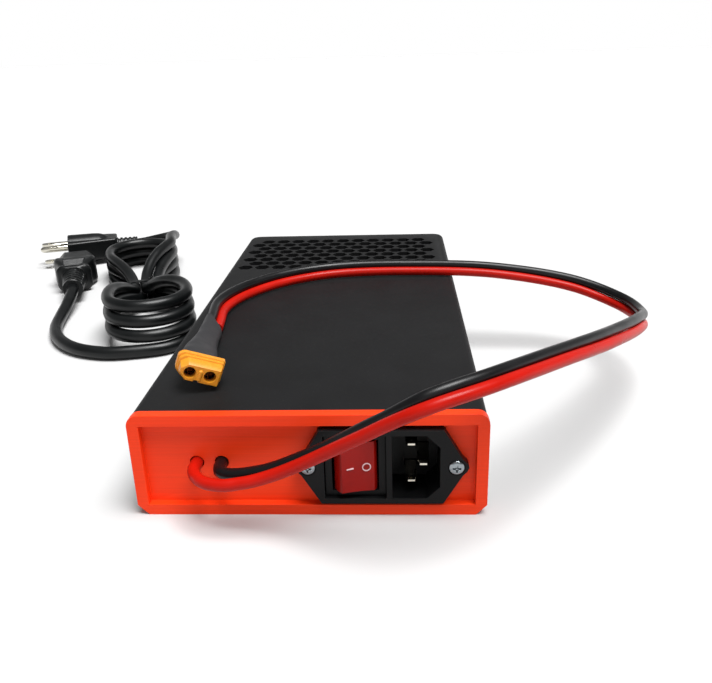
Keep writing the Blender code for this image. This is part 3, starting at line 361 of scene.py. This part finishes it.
def block(name, x, y, z, matrix=Matrix.Identity(4)):
    """A box between two values on each axis, in millimetres of the matrix's frame."""
    low, high = Vector((x[0], y[0], z[0])) * MM, Vector((x[1], y[1], z[1])) * MM
    shape = bmesh.new()
    bmesh.ops.create_cube(shape, size=1.0)
    bmesh.ops.scale(shape, vec=high - low, verts=shape.verts)
    bmesh.ops.translate(shape, vec=(high + low) / 2, verts=shape.verts)
    bmesh.ops.transform(shape, matrix=matrix, verts=shape.verts)
    return link(name, mesh_from(shape, name))


ALONG_Y = Matrix.Rotation(-math.pi / 2, 4, "X")


def turned(name, profile, matrix, steps=48):
    """A profile of (radius, distance) points spun round the matrix's +Z, as a closed skin."""
    rings = []
    for radius, distance in profile:
        radius = max(radius, 0.01)
        rings.append([matrix @ (Vector((radius * math.cos(turn), radius * math.sin(turn), distance)) * MM)
                      for turn in (2 * math.pi * step / steps for step in range(steps))])
    return smooth(link(name, mesh_from(loft(rings), name)))


# --- smooth routes ----------------------------------------------------------------------------------
def smooth_route(points, spacing):
    """Evenly spaced places along a smooth curve through the points (centripetal Catmull-Rom)."""
    ends = [points[0] * 2 - points[1], *points, points[-1] * 2 - points[-2]]
    fine = []
    for before, here, there, after in zip(ends, ends[1:], ends[2:], ends[3:]):
        knots = [0.0]
        for a, b in ((before, here), (here, there), (there, after)):
            knots.append(knots[-1] + math.sqrt((b - a).length))
        for step in range(24):
            t = knots[1] + (knots[2] - knots[1]) * step / 24
            lines = [(a * (hi - t) + b * (t - lo)) / (hi - lo) for a, b, lo, hi in
                     zip((before, here, there), (here, there, after), knots, knots[1:])]
            bends = [(a * (hi - t) + b * (t - lo)) / (hi - lo) for a, b, lo, hi in
                     zip(lines, lines[1:], knots, knots[2:])]
            fine.append((bends[0] * (knots[2] - t) + bends[1] * (t - knots[1])) / (knots[2] - knots[1]))
    fine.append(points[-1])
    return resample(fine, spacing)


def resample(fine, spacing):
    lengths = [0.0]
    for a, b in zip(fine, fine[1:]):
        lengths.append(lengths[-1] + (b - a).length)
    count = max(2, round(lengths[-1] / spacing))
    even, index = [], 0
    for step in range(count + 1):
        target = lengths[-1] * step / count
        while index < len(fine) - 2 and lengths[index + 1] < target:
            index += 1
        span = lengths[index + 1] - lengths[index]
        share = (target - lengths[index]) / span if span else 0.0
        even.append(fine[index].lerp(fine[index + 1], min(1.0, share)))
    return even


def cord_curve(name, points, diameter, sides=6):
    """A round cord along a list of places in metres."""
    curve = bpy.data.curves.new(name, "CURVE")
    curve.dimensions = "3D"
    curve.bevel_depth = diameter * MM / 2
    curve.bevel_resolution = sides
    curve.use_fill_caps = True
    line = curve.splines.new("POLY")
    line.points.add(len(points) - 1)
    for point, spot in zip(line.points, points):
        point.co = (*spot, 1)
    line.use_smooth = True
    return link(name, curve)


# --- output lead ------------------------------------------------------------------------------------
def lead_pair():
    """The red and the black wire, read off the pair's middle line."""
    middle = [place(*point[:3]) for point in LEAD_ROUTE]
    line = smooth_route(middle, 0.5 * MM)
    marks = [min(range(len(line)), key=lambda index, spot=spot: (line[index] - spot).length)
             for spot in middle]
    red, black = [], []
    for index, spot in enumerate(line):
        back, ahead = line[max(0, index - 2)], line[min(len(line) - 1, index + 2)]
        run = (ahead - back).normalized()
        stretch = max(number for number, mark in enumerate(marks) if mark <= index)
        stretch = min(stretch, len(marks) - 2)
        share = (index - marks[stretch]) / (marks[stretch + 1] - marks[stretch])
        lean, pitch = lean_at(stretch + share)
        side = Vector((0, 0, 1)).cross(run).normalized()
        offset = side * math.cos(lean) + run.cross(side) * math.sin(lean)
        red.append(spot - offset * pitch * MM / 2)
        black.append(spot + offset * pitch * MM / 2)
    return red, black


def lean_at(place_along):
    """Lean in radians and spacing, eased between the route's points."""
    number = min(int(place_along), len(LEAD_ROUTE) - 2)
    share = place_along - number
    share = share * share * (3 - 2 * share)
    first, second = LEAD_ROUTE[number], LEAD_ROUTE[number + 1]
    return (math.radians(first[3] + (second[3] - first[3]) * share),
            first[4] + (second[4] - first[4]) * share)


def run_on(points, start, finish):
    """The places with a straight piece of so many millimetres added at each end."""
    first = points[0] + (points[0] - points[4]).normalized() * start * MM
    last = points[-1] + (points[-1] - points[-5]).normalized() * finish * MM
    return [first, *points, last]


def output_lead():
    red, black = lead_pair()
    sleeve = heat_shrink(red, black)
    housing, contacts = output_connector()
    for name, points, hole_x, slot, contact in (
            ("lead_red", red, RED_HOLE_X, "red_silicone", contacts[1]),
            ("lead_black", black, BLACK_HOLE_X, "black_silicone", contacts[0])):
        whole = resample(run_on(points, LEAD_START_INSIDE, LEAD_END_INSIDE), 1.5 * MM)
        made = cord_curve(name, whole, LEAD_DIAMETER + 0.1)     # so that the two wires touch
        piece(made, slot, "lead_positive" if slot == "red_silicone" else "lead_negative")


def connector_matrix():
    return (Matrix.Translation(place(*CONNECTOR_NOSE)) @ Matrix.Rotation(math.radians(CONNECTOR_YAW), 4, "Z")
            @ Matrix.Rotation(math.radians(CONNECTOR_ROLL), 4, "Y"))


def bezier(points, share):
    """A place on the curve that the four points pull."""
    a, b, c, d = points
    rest = 1 - share
    return a * rest ** 3 + b * 3 * rest ** 2 * share + c * 3 * rest * share ** 2 + d * share ** 3


def heat_shrink(red, black):
    """A shrunk sleeve: tight round the wires, flared over the connector's back, its wire end cut askew."""
    matrix = connector_matrix()
    start = matrix @ Vector((0, SLEEVE_START * MM, 0))
    finish = (red[-1] + black[-1]) / 2
    start_side = (matrix.to_3x3() @ Vector((-1, 0, 0))).normalized()
    finish_side = (black[-1] - red[-1]).normalized()
    start_run = (matrix.to_3x3() @ Vector((0, 1, 0))).normalized()
    finish_run = (red[-6] - red[-1] + black[-6] - black[-1]).normalized()
    span = (finish - start).length
    pulls = (start, start + start_run * span * 0.2, finish - finish_run * span * 0.4, finish)
    rings, sides = 70, 56
    loops = []
    for ring in range(rings):
        along = ring / (rings - 1)
        loop = []
        for number in range(sides):
            turn = 2 * math.pi * number / sides
            share = along * (1 - ASKEW * (1 - math.cos(turn)) / 2 * along ** 3)
            easy = share * share * (3 - 2 * share)
            run = (bezier(pulls, share + 0.01) - bezier(pulls, share - 0.01)).normalized()
            side = start_side.lerp(finish_side, easy)
            side = (side - run * side.dot(run)).normalized()
            up = run.cross(side)
            flare = 1 - eased((share - COLLAR_SHARE) / FLARE_SHARE)
            collar = eased(1 - share / COLLAR_SHARE)
            wide = SLEEVE_HALF_WIDTH + FLARE_WIDER * flare + COLLAR_WIDER * collar
            high = SLEEVE_HALF_HEIGHT + FLARE_HIGHER * flare + COLLAR_HIGHER * collar
            waist = 1 - 0.12 * (1 - flare) * math.sin(turn) ** 8
            wrinkle = 1 + 0.008 * math.sin(turn * 5 + share * 19) + 0.006 * math.sin(turn * 3 - share * 31)
            loop.append(bezier(pulls, share) + side * wide * wrinkle * squared(math.cos(turn)) * MM
                        + up * high * wrinkle * waist * squared(math.sin(turn)) * MM)
        loops.append(loop)
    made = smooth(link("shrink_sleeve", mesh_from(loft(loops, "open"), "shrink_sleeve")))
    wall = made.modifiers.new("wall", "SOLIDIFY")
    wall.thickness = SLEEVE_WALL * MM
    wall.offset = -1.0
    bake(made)
    return piece(smooth(made, 50), "grey_sleeve", "heat_shrink")


def squared(value):
    """A sine made a little flatter at its top, for a shape between round and square."""
    return math.copysign(abs(value) ** 0.8, value)


def connector_outline(half_width, low, high, foot, brow):
    """The housing's outline, its left corners cut off by foot below and by brow above."""
    return [(foot - half_width, -low), (half_width, -low), (half_width, high), (brow - half_width, high),
            (-half_width, high - brow * 0.8), (-half_width, foot - low)]


def output_connector():
    """The yellow two-pole housing with its stepped back rim, and its two slotted sockets."""
    matrix = connector_matrix()
    # distance behind the mating face, half width, low, high, foot, brow and the corners' radius
    sections = [(0.0, 6.75, 2.9, 2.85, 2.3, 2.3, 0.2), (0.2, 6.95, 3.1, 3.05, 2.4, 2.4, 0.25),
                (1.9, 7.3, 3.7, 4.0, 2.6, 2.5, 0.3), (3.9, 7.35, 3.8, 4.05, 2.6, 2.4, 0.3),
                (4.0, 7.8, 3.9, 4.5, 2.6, 1.9, 0.7), (5.5, 7.85, 3.9, 4.55, 2.6, 1.9, 0.7),
                (5.6, 8.35, 4.1, 5.0, 2.6, 1.7, 0.8), (7.8, 8.4, 4.1, 5.05, 2.6, 1.7, 0.8),
                (8.0, 8.2, 4.0, 4.9, 2.5, 1.6, 0.7), (8.1, 5.6, 2.6, 2.7, 1.6, 1.6, 0.7),
                (11.0, 5.5, 2.5, 2.6, 1.6, 1.6, 0.7)]
    rings = []
    for distance, *outline, radius in sections:
        outline = rounded(connector_outline(*outline), radius)
        rings.append([matrix @ (Vector((point.x, distance, point.y)) * MM) for point in outline])
    housing = link("output_connector", mesh_from(loft(rings), "output_connector"))
    rib = turned("rib", [(0.3, -2.3), (0.8, -2.1), (0.8, 1.3), (0.5, 1.7), (0.1, 1.8)],
                 matrix @ Matrix.Translation((0.1 * MM, 0.15 * MM, 0)), 24)
    join(housing, rib)
    tools = [block("foot_notch", (-1.75, 0.1), (-1, 3.2), (-5, -2.3), matrix),
             block("corner_notch", (6.3, 9.0), (-1, 9.5), (-5, -3.15), matrix)]
    contacts = []
    for label, side in (("black", -1), ("red", 1)):
        spot = matrix @ Matrix.Translation((side * CONTACT_PITCH / 2 * MM, 0, 0)) @ ALONG_Y
        tools.append(turned(f"{label}_socket", [(2.15, -1), (2.15, 3.0), (2.25, 3.1), (2.25, 10.3)], spot))
        contacts.append(socket_contact(f"connector_contact_{label}_finish", spot))
    cut(housing, *tools)
    soften(housing, 0.1, 2)
    piece(housing, "yellow_nylon", "connector_housing")
    # the contacts take gold_plate's dark base: painted shade inside the sockets
    for contact, node in zip(contacts, ("connector_contact_negative", "connector_contact_positive")):
        piece(contact, "gold_plate", node)
    return housing, contacts


def socket_contact(name, matrix):
    """A spring tube, split from its mouth into four leaves."""
    made = turned(name, [(1.9, 3.5), (1.98, 3.3), (2.12, 3.3), (2.2, 3.5), (2.2, 10.0), (1.2, 10.0)], matrix)
    bore = turned(name + "_bore", [(1.95, -1), (1.95, 9.7)], matrix)
    slots = [block(f"{name}_slot_{way}", *spans, matrix)
             for way, spans in (("across", ((-3, 3), (-0.22, 0.22), (-1, 6))),
                                ("upright", ((-0.22, 0.22), (-3, 3), (-1, 6))))]
    return smooth(cut(made, bore, *slots))


# --- mains lead -------------------------------------------------------------------------------------
def hank_frame():
    return Matrix.Translation(place(*HANK_CENTRE, 0)) @ Matrix.Rotation(math.radians(HANK_TURN), 4, "Z")


def pinch(along):
    """How far the hank is drawn in by its tie: 1 at the middle, 0 where its runs are straight."""
    return (1 + math.cos(math.pi * min(1.0, abs(along) / WAIST_REACH))) / 2


def strand(side, along, layer):
    """A place on one of the hank's long runs, on its right (1) or left (-1)."""
    drawn = pinch(along)
    across = side * (BEND_RADIUS + (WAIST_STRAND - BEND_RADIUS) * drawn)
    up = FIRST_LAYER_UP + WAIST_LIFT * drawn
    if side < 0 and along < 0:
        up += LAYER * (1 - drawn)       # a left run climbs to the layer that the loop below it starts
    for apart, gathered in (RIGHT_STACK if side > 0 else LEFT_STACK)[:layer]:
        turn = math.radians(apart + (gathered - apart) * drawn)
        across += LAYER * math.cos(turn)
        up += LAYER * math.sin(turn)
    return Vector((across, along, up))


def end_loop(reach, up, start, stop, count=9):
    """Places round one end of the hank, from one angle to another in degrees."""
    turns = [math.radians(start + (stop - start) * step / (count - 1)) for step in range(count)]
    return [Vector((BEND_RADIUS * math.cos(turn), reach + BEND_RADIUS * math.sin(turn), up))
            for turn in turns]


def long_run(side, start, stop, layer, count=14):
    return [strand(side, start + (stop - start) * (step + 1) / (count + 1), layer) for step in range(count)]


def mains_route():
    """Out of the appliance connector, round the hank three and a half times and into the plug."""
    points = [Vector((C13_X, C13_FRONT - C13_LENGTH + CORD_END_INSIDE, C13_Z)), *map(Vector, C13_ROUTE)]
    points += end_loop(-LOWER_LOOPS[0], FIRST_LAYER_UP, -82, 0, 6)
    for layer, (upper, lower) in enumerate(zip(UPPER_LOOPS, LOWER_LOOPS)):
        up = FIRST_LAYER_UP + LAYER * layer
        points += long_run(1, -lower, upper, layer)
        points += end_loop(upper, up, 0, 180)
        points += long_run(-1, upper, -LOWER_LOOPS[layer + 1], layer)
        points += end_loop(-LOWER_LOOPS[layer + 1], up + LAYER, 180, 360)
    points += long_run(1, -LOWER_LOOPS[-1], WAIST_REACH, len(UPPER_LOOPS))
    points += [Vector(point) for point in LAST_RUN + PLUG_ROUTE]
    return points + [Vector((PLUG_FACE + PLUG_LENGTH - CORD_END_INSIDE, PLUG_Y, PLUG_Z))]


def mains_lead():
    flat = hank_frame()
    line = smooth_route([flat @ (point * MM) for point in mains_route()], 2.5 * MM)
    made = piece(cord_curve("mains_lead", line, CORD_DIAMETER, 7), "black_pvc", "c13_cord", "mains_hank",
                 "plug_cord")
    on_it = [appliance_connector(), *mains_plug(), twist_tie()]


def even_ring(half_width, half_height, radius, side_points, corner_points):
    """Points and outward directions round a rectangle with round corners."""
    ring = []
    corners = ((1, 1), (-1, 1), (-1, -1), (1, -1))
    centres = [Vector((across * (half_width - radius), up * (half_height - radius)))
               for across, up in corners]
    for number, centre in enumerate(centres):
        for step in range(corner_points):
            turn = math.radians(90 * (number + step / (corner_points - 1)))
            way = Vector((math.cos(turn), math.sin(turn)))
            ring.append((centre + way * radius, way))
        after = centres[(number + 1) % 4]
        for step in range(1, side_points):
            share = step / side_points
            ring.append((centre.lerp(after, share) + way * radius, way))
    return ring


def at_distance(sections, distance):
    """Section sizes at a distance, read between the listed ones."""
    for first, second in zip(sections, sections[1:]):
        if distance <= second[0]:
            share = (distance - first[0]) / (second[0] - first[0])
            return [a + (b - a) * share for a, b in zip(first[1:], second[1:])]
    return sections[-1][1:]


def moulded(name, sections, matrix, detail=None, spacing=0.5, side_points=10, corner_points=7):
    """A skin over (distance, half width, half height, corner radius) sections along the matrix's +Y.

    detail gives how far a point stands proud, from its distance, its place across and its direction.
    """
    length = sections[-1][0] - sections[0][0]
    stops = sorted({section[0] for section in sections}
                   | {sections[0][0] + length * step / round(length / spacing)
                      for step in range(round(length / spacing) + 1)})
    rings = []
    for distance in stops:
        wide, high, radius = at_distance(sections, distance)
        ring = []
        for point, way in even_ring(wide, high, min(radius, wide * 0.999, high * 0.999), side_points,
                                    corner_points):
            proud = detail(distance, point, way) if detail else 0.0
            ring.append(matrix @ (Vector((point.x + way.x * proud, distance, point.y + way.y * proud)) * MM))
        rings.append(ring)
    return smooth(link(name, mesh_from(loft(rings), name)), 40)


def eased(value):
    value = max(0.0, min(1.0, value))
    return value * value * (3 - 2 * value)


def grip_detail(distance, point, way):
    """Seven low bars across a sunk, tapered panel on the grip's two faces."""
    if abs(way.y) < 0.99:
        return 0.0
    start, stop, first_bar, bar_step = 26.2, 40.8, 27.4, 1.95
    sunk, bar_height = 0.45, 0.75
    into = eased((distance - start) / 0.6) * eased((stop - distance) / 0.6)
    half_panel = 7.6 - (distance - 26) * 0.13
    into *= eased((half_panel - abs(point.x)) / 0.8)
    bars = 0.5 + 0.5 * math.cos(2 * math.pi * (distance - first_bar) / bar_step)
    return into * (-sunk + bar_height * bars)


def relief_detail(distance, point, way):
    """Two rows of short slots above and two below, each pair half a step apart."""
    step, first, slot_half_length, slot_depth = 4.4, 47.4, 0.95, 1.5
    turn = math.atan2(way.y, way.x)
    depth = 0.0
    for row, middle in enumerate((125, 55, -125, -55)):
        shift = 0.0 if row in (0, 3) else step / 2
        nearest = round((distance - first - shift) / step) * step + first + shift
        if not 46.5 < nearest < 65.5:
            continue
        across = abs(turn - math.radians(middle)) * 6.8 / 3.0
        along = abs(distance - nearest) / slot_half_length
        depth = max(depth, eased((1.25 - math.hypot(max(0.0, across - 0.45) * 1.3, along)) / 0.45))
    return -slot_depth * depth


def appliance_connector():
    """The moulded connector for the inlet: square head, waisted grip, collar and slotted bend relief."""
    matrix = (hank_frame() @ Matrix.Translation(Vector((C13_X, C13_FRONT, C13_Z)) * MM)
              @ Matrix.Rotation(math.pi, 4, "Z"))
    head = []
    for distance, shrink in ((0.0, 0.5), (0.5, 0.0), (21.0, 0.0)):
        wide, high = 12.0 - shrink, 8.0 - shrink
        outline = rounded([(-wide, -high), (wide, -high), (wide, high - 4.4), (wide - 4.4, high),
                           (4.4 - wide, high), (-wide, high - 4.4)], 0.6)
        head.append([matrix @ (Vector((point.x, distance, point.y)) * MM) for point in outline])
    made = smooth(link("appliance_connector", mesh_from(loft(head), "appliance_connector")), 30)
    grip = moulded("grip", [(19.0, 13.1, 8.7, 2.2), (19.6, 13.5, 9.1, 2.6), (22.5, 13.5, 9.2, 2.8),
                            (26.0, 12.7, 9.15, 3.0), (30.0, 11.1, 9.0, 3.2), (34.0, 9.8, 8.6, 3.6),
                            (37.0, 9.5, 8.2, 4.0), (38.4, 10.3, 8.4, 4.2), (39.4, 10.9, 8.8, 4.4),
                            (41.4, 10.9, 8.8, 4.6), (42.6, 10.0, 8.3, 5.0), (43.6, 7.9, 7.6, 5.6),
                            (44.2, 7.5, 7.4, 5.8)], matrix, grip_detail, 0.2, 24, 9)
    relief = moulded("relief", [(43.0, 7.5, 7.4, 7.2), (46.0, 7.3, 7.2, 7.1), (64.0, 6.3, 6.3, 6.2),
                                (67.2, 6.2, 6.2, 6.1), (67.5, 5.9, 5.9, 5.8)],
                     matrix, relief_detail, 0.35, 6, 22)
    join(made, grip, relief)
    tools = [block(f"pole_{number}", (across - 1.3, across + 1.3), (-1, 15), (up - 2.3, up + 2.3), matrix)
             for number, (across, up) in enumerate(((-7, -2), (7, -2), (0, 2)))]
    cut(made, *tools)
    smooth(made, 38)
    return piece(made, "black_pvc", "c13_connector")


def mains_plug():
    """The wall plug: a tapered body with a round-nosed block through it, a ringed bend relief and pins."""
    matrix = (hank_frame() @ Matrix.Translation(Vector((PLUG_FACE, PLUG_Y, PLUG_Z)) * MM)
              @ Matrix.Rotation(-math.pi / 2, 4, "Z"))
    body = moulded("wall_plug", [(0, 14.3, 7.1, 1.0), (0.4, 14.7, 7.5, 1.2), (4.0, 14.5, 7.5, 1.4),
                                 (33.8, 9.2, 7.2, 1.6), (35.0, 8.6, 6.7, 1.8)], matrix, None, 1.0)
    block_nose = turned("block_nose", [(0.01, 0.0), (10.2, 0.0), (10.6, 0.5), (10.4, 18.0), (10.0, 22.5),
                                       (8.9, 26.0), (7.2, 28.6), (4.6, 30.4), (1.5, 31.0)], matrix @ ALONG_Y)
    rings = [(5.6, 34.0), (5.6, 35.6)]
    for number in range(4):
        start = 36.2 + number * 3.1
        rings += [(4.55, start), (4.55, start + 0.9), (5.35 - 0.08 * number, start + 1.3),
                  (5.35 - 0.08 * number, start + 2.7)]
    rings += [(4.6, 48.6), (5.05, 49.0), (4.9, PLUG_LENGTH)]
    relief = turned("plug_relief", rings, matrix @ ALONG_Y, 40)
    join(body, block_nose, relief)
    smooth(body, 38)
    pieces = [piece(body, "black_pvc", "mains_plug")]
    for label, rise in (("line", BLADE_HALF_PITCH), ("neutral", -BLADE_HALF_PITCH)):
        outline = rounded([(-3.2, -2.6), (3.2, -2.6), (3.2, 15.6), (1.7, 17.8), (-1.7, 17.8), (-3.2, 15.6)],
                          0.5)
        rings = []
        for thick, inset in ((-0.75, 0.96), (-0.6, 1.0), (0.6, 1.0), (0.75, 0.96)):
            rings.append([matrix @ (Vector((BLADE_ACROSS + point.x * inset, -point.y, rise + thick)) * MM)
                          for point in outline])
        blade = link(f"plug_blade_{label}_finish", mesh_from(loft(rings), "blade"))
        hole = turned("blade_hole", [(1.6, -2), (1.6, 2)],
                      matrix @ Matrix.Translation(Vector((BLADE_ACROSS, -12.4, rise)) * MM), 32)
        cut(blade, hole)
        pieces.append(piece(smooth(blade, 30), "nickel_brass", f"plug_blade_{label}"))
    ground = turned("plug_ground_pin_finish", [(2.4, -2.6), (2.4, 17.2), (2.25, 18.6), (1.85, 19.8),
                                               (1.2, 20.6), (0.4, 21.0)],
                    matrix @ Matrix.Translation((GROUND_ACROSS * MM, 0, 0)) @ ALONG_Y.inverted(), 40)
    pieces.append(piece(ground, "nickel_brass", "plug_ground_pin"))
    return pieces


def twist_tie():
    """A flat coated wire drawn round the hank's waist, its two ends twisted together on top."""
    flat = hank_frame()
    strands = [(WAIST_STRAND, FIRST_LAYER_UP + WAIST_LIFT), (TOP_ACROSS, TOP_UP), (-TOP_ACROSS, TOP_UP),
               (-WAIST_STRAND, FIRST_LAYER_UP + WAIST_LIFT)]
    around = []
    clear = CORD_DIAMETER / 2 + 0.35
    for number, (across, up) in enumerate(strands):
        before, after = Vector(strands[number - 1]), Vector(strands[(number + 1) % 4])
        here = Vector((across, up))
        first, second = (here - before), (after - here)
        start, stop = math.atan2(-first.x, first.y), math.atan2(-second.x, second.y)
        if stop < start:
            stop += 2 * math.pi
        around += [here + Vector((math.cos(turn), math.sin(turn))) * clear
                   for turn in (start + (stop - start) * step / 8 for step in range(9))]
    band = ribbon("twist_tie_band", [Vector((point.x, 0, point.y)) for point in around],
                  [Vector((0, 1, 0))] * len(around), 3.6, 0.5, flat, closed=True)
    top = max(point.y for point in around)
    tail, ways = [], []
    for step in range(40):
        share = step / 39
        tail.append(Vector((2.0 + 13.0 * share, 1.5 * math.sin(share * 3), top + 0.9 - 0.4 * share)))
        turn = share * math.radians(900)
        ways.append(Vector((0, math.cos(turn), math.sin(turn))))
    twisted = ribbon("twist_tie_tail", tail, ways, 2.2, 0.7, flat)
    join(band, twisted)
    return piece(smooth(band, 40), "black_pvc", "twist_tie")


def ribbon(name, line, ways, width, thickness, matrix, closed=False):
    """A flat strip along a line, its width lying along the given directions."""
    rings = []
    for number, (spot, way) in enumerate(zip(line, ways)):
        after, before = line[(number + 1) % len(line)], line[number - 1]
        if not closed:
            after, before = line[min(number + 1, len(line) - 1)], line[max(number - 1, 0)]
        face = (after - before).normalized().cross(way).normalized()
        rings.append([matrix @ ((spot + way * across * width / 2 + face * out * thickness / 2) * MM)
                      for across, out in ((-1, -0.6), (-0.75, -0.6), (0.75, -0.6), (1, -0.6), (1, 0.6),
                                          (0.5, 1), (-0.5, 1), (-1, 0.6))])
    return link(name, mesh_from(loft(rings, "joined" if closed else "capped"), name))


# --- charger ----------------------------------------------------------------------------------------
def printed_case():
    softened("case_shell", 0.3, "black_print", segments=2)
    softened("front_bezel", 0.45, "orange_print")


def dome_screw(name, spot, axis, node):
    """A domed cross-recess head on the CAD screw's place, looking along -axis."""
    profile = [(0.01, -0.78), (0.9, -0.74), (1.6, -0.6), (2.2, -0.36), (2.52, -0.12), (2.6, 0.05), (2.5, 0.3),
               (1.35, 1.3), (1.35, 9.0), (0.01, 9.6)]
    matrix = Matrix.Translation(spot) @ axis
    made = turned(name, profile, matrix)
    for way, (wide, tall) in enumerate(((1.45, 0.34), (0.34, 1.45))):
        arm = block(f"{name}_arm{way}", (-wide, wide), (-tall, tall), (-2, 0.25), matrix)
        cut(made, arm)
    cut(made, turned(name + "_well", [(0.75, -2), (0.7, -0.2), (0.35, 0.6)], matrix, 16))
    soften(made, 0.06, 2, 50)
    return piece(made, "plated_steel", node)


def inlet():
    softened("inlet_housing", 0.35, "black_moulding")
    softened("switch_frame", 0.2, "black_moulding")
    for label, side in (("left", -1), ("right", 1)):
        node = f"inlet_screw_{label}"
        low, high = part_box(node)
        spot = Vector(((low.x + high.x) / 2, low.y + 0.75 * MM, (low.z + high.z) / 2))
        dome_screw(node + "_finish", spot, ALONG_Y, node)


def inlet_pins():
    """Flat pins whose tips taper on all four sides."""
    # distance behind the tip, or None for the pin's root, then the width and height there as shares
    sections = [(0.0, 0.60, 0.34), (1.1, 0.94, 0.8), (1.5, 0.99, 0.97), (1.8, 1.0, 1.0), (None, 1.0, 1.0)]
    for name in ("pin_line", "pin_neutral", "pin_earth"):
        low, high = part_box(name)
        middle, half = (low + high) / 2, (high - low) / 2
        rings = []
        for back, wide, tall in sections:
            y = high.y if back is None else low.y + back * MM
            outline = rounded([(-half.x * wide, -half.z * tall), (half.x * wide, -half.z * tall),
                               (half.x * wide, half.z * tall), (-half.x * wide, half.z * tall)], 0.15 * MM)
            rings.append([Vector((middle.x + point.x, y, middle.z + point.y)) for point in outline])
        made = smooth(link(name + "_finish", mesh_from(loft(rings), name + "_finish")), 25)
        piece(made, "nickel_brass", name)


def rocker():
    softened("rocker", 0.35, "red_rocker", "rocker")
    tilt = (Matrix.Translation(place(SWITCH_X, ROCKER_PIVOT, INLET_Z))
            @ Matrix.Rotation(math.radians(ROCKER_TILT), 4, "Z"))
    proud = -ROCKER_FACE - 0.06
    leaning = tilt @ Matrix.Rotation(math.radians(-7), 4, "Y")
    bar = block("rocker_on_mark", (-3.9, -1.5), (proud, -ROCKER_FACE + 0.6), (-0.17, 0.17), leaning)
    piece(soften(bar, 0.04, 2), "red_rocker", body="rocker", surface=MARKING)
    turns = [2 * math.pi * step / 48 for step in range(48)]
    outward = [Vector((math.cos(turn), 0, math.sin(turn))) for turn in turns]
    circle = [Vector((2.9 + 1.35 * way.x, proud, 1.35 * way.z)) for way in outward]
    ring = ribbon("rocker_off_mark", circle, outward, 0.34, 0.3, tilt, closed=True)
    piece(smooth(ring), "red_rocker", body="rocker", surface=MARKING)


def carried_over():
    """Every CAD node takes its slot's finish, for the ones that still show."""
    for row in frame["record"]["subparts"]:
        mesh = frame["nodes"][row["node"]].data
        mesh.materials.clear()
        mesh.materials.append(LOOKS[row["material_slot"]])


# --- floor and light --------------------------------------------------------------------------------
def studio():
    bpy.context.scene.view_settings.view_transform = "Standard"
    shape = bmesh.new()
    bmesh.ops.create_grid(shape, x_segments=1, y_segments=1, size=6.0)
    floor = link("studio_floor", mesh_from(shape, "studio_floor"))
    surface = bpy.data.materials.new("studio_floor")
    surface.use_nodes = True
    shader = surface.node_tree.nodes["Principled BSDF"]
    grey = {"Base Color": (0.50, 0.50, 0.50, 1), "Roughness": 0.9, "Specular IOR Level": 0.1}
    for name, value in grey.items():
        shader.inputs[name].default_value = value
    floor.data.materials.append(surface)

    world = bpy.data.worlds.new("studio")
    bpy.context.scene.world = world
    world.use_nodes = True
    nodes, links = world.node_tree.nodes, world.node_tree.links
    where, split = nodes.new("ShaderNodeTexCoord"), nodes.new("ShaderNodeSeparateXYZ")
    fade = nodes.new("ShaderNodeMapRange")
    fade.interpolation_type = "SMOOTHSTEP"
    for name, value in (("From Min", 0.05), ("From Max", 0.25), ("To Min", 1.0), ("To Max", 0.22)):
        fade.inputs[name].default_value = value
    links.new(where.outputs["Generated"], split.inputs["Vector"])
    links.new(split.outputs["Z"], fade.inputs["Value"])
    links.new(fade.outputs["Result"], nodes["Background"].inputs["Strength"])
    nodes["Background"].inputs["Color"].default_value = (1, 1, 1, 1)

    for name, (strength, spread, back_tilt, left_tilt) in SUNS.items():
        light = bpy.data.lights.new(name, "SUN")
        light.energy = strength
        light.angle = math.radians(spread)
        lamp = link(name, light)
        lamp.rotation_euler = (math.radians(back_tilt), math.radians(left_tilt), 0)


make_camera()
output_lead()
mains_lead()
printed_case()
inlet()
inlet_pins()
rocker()
carried_over()
studio()

bpy.context.view_layer.update()
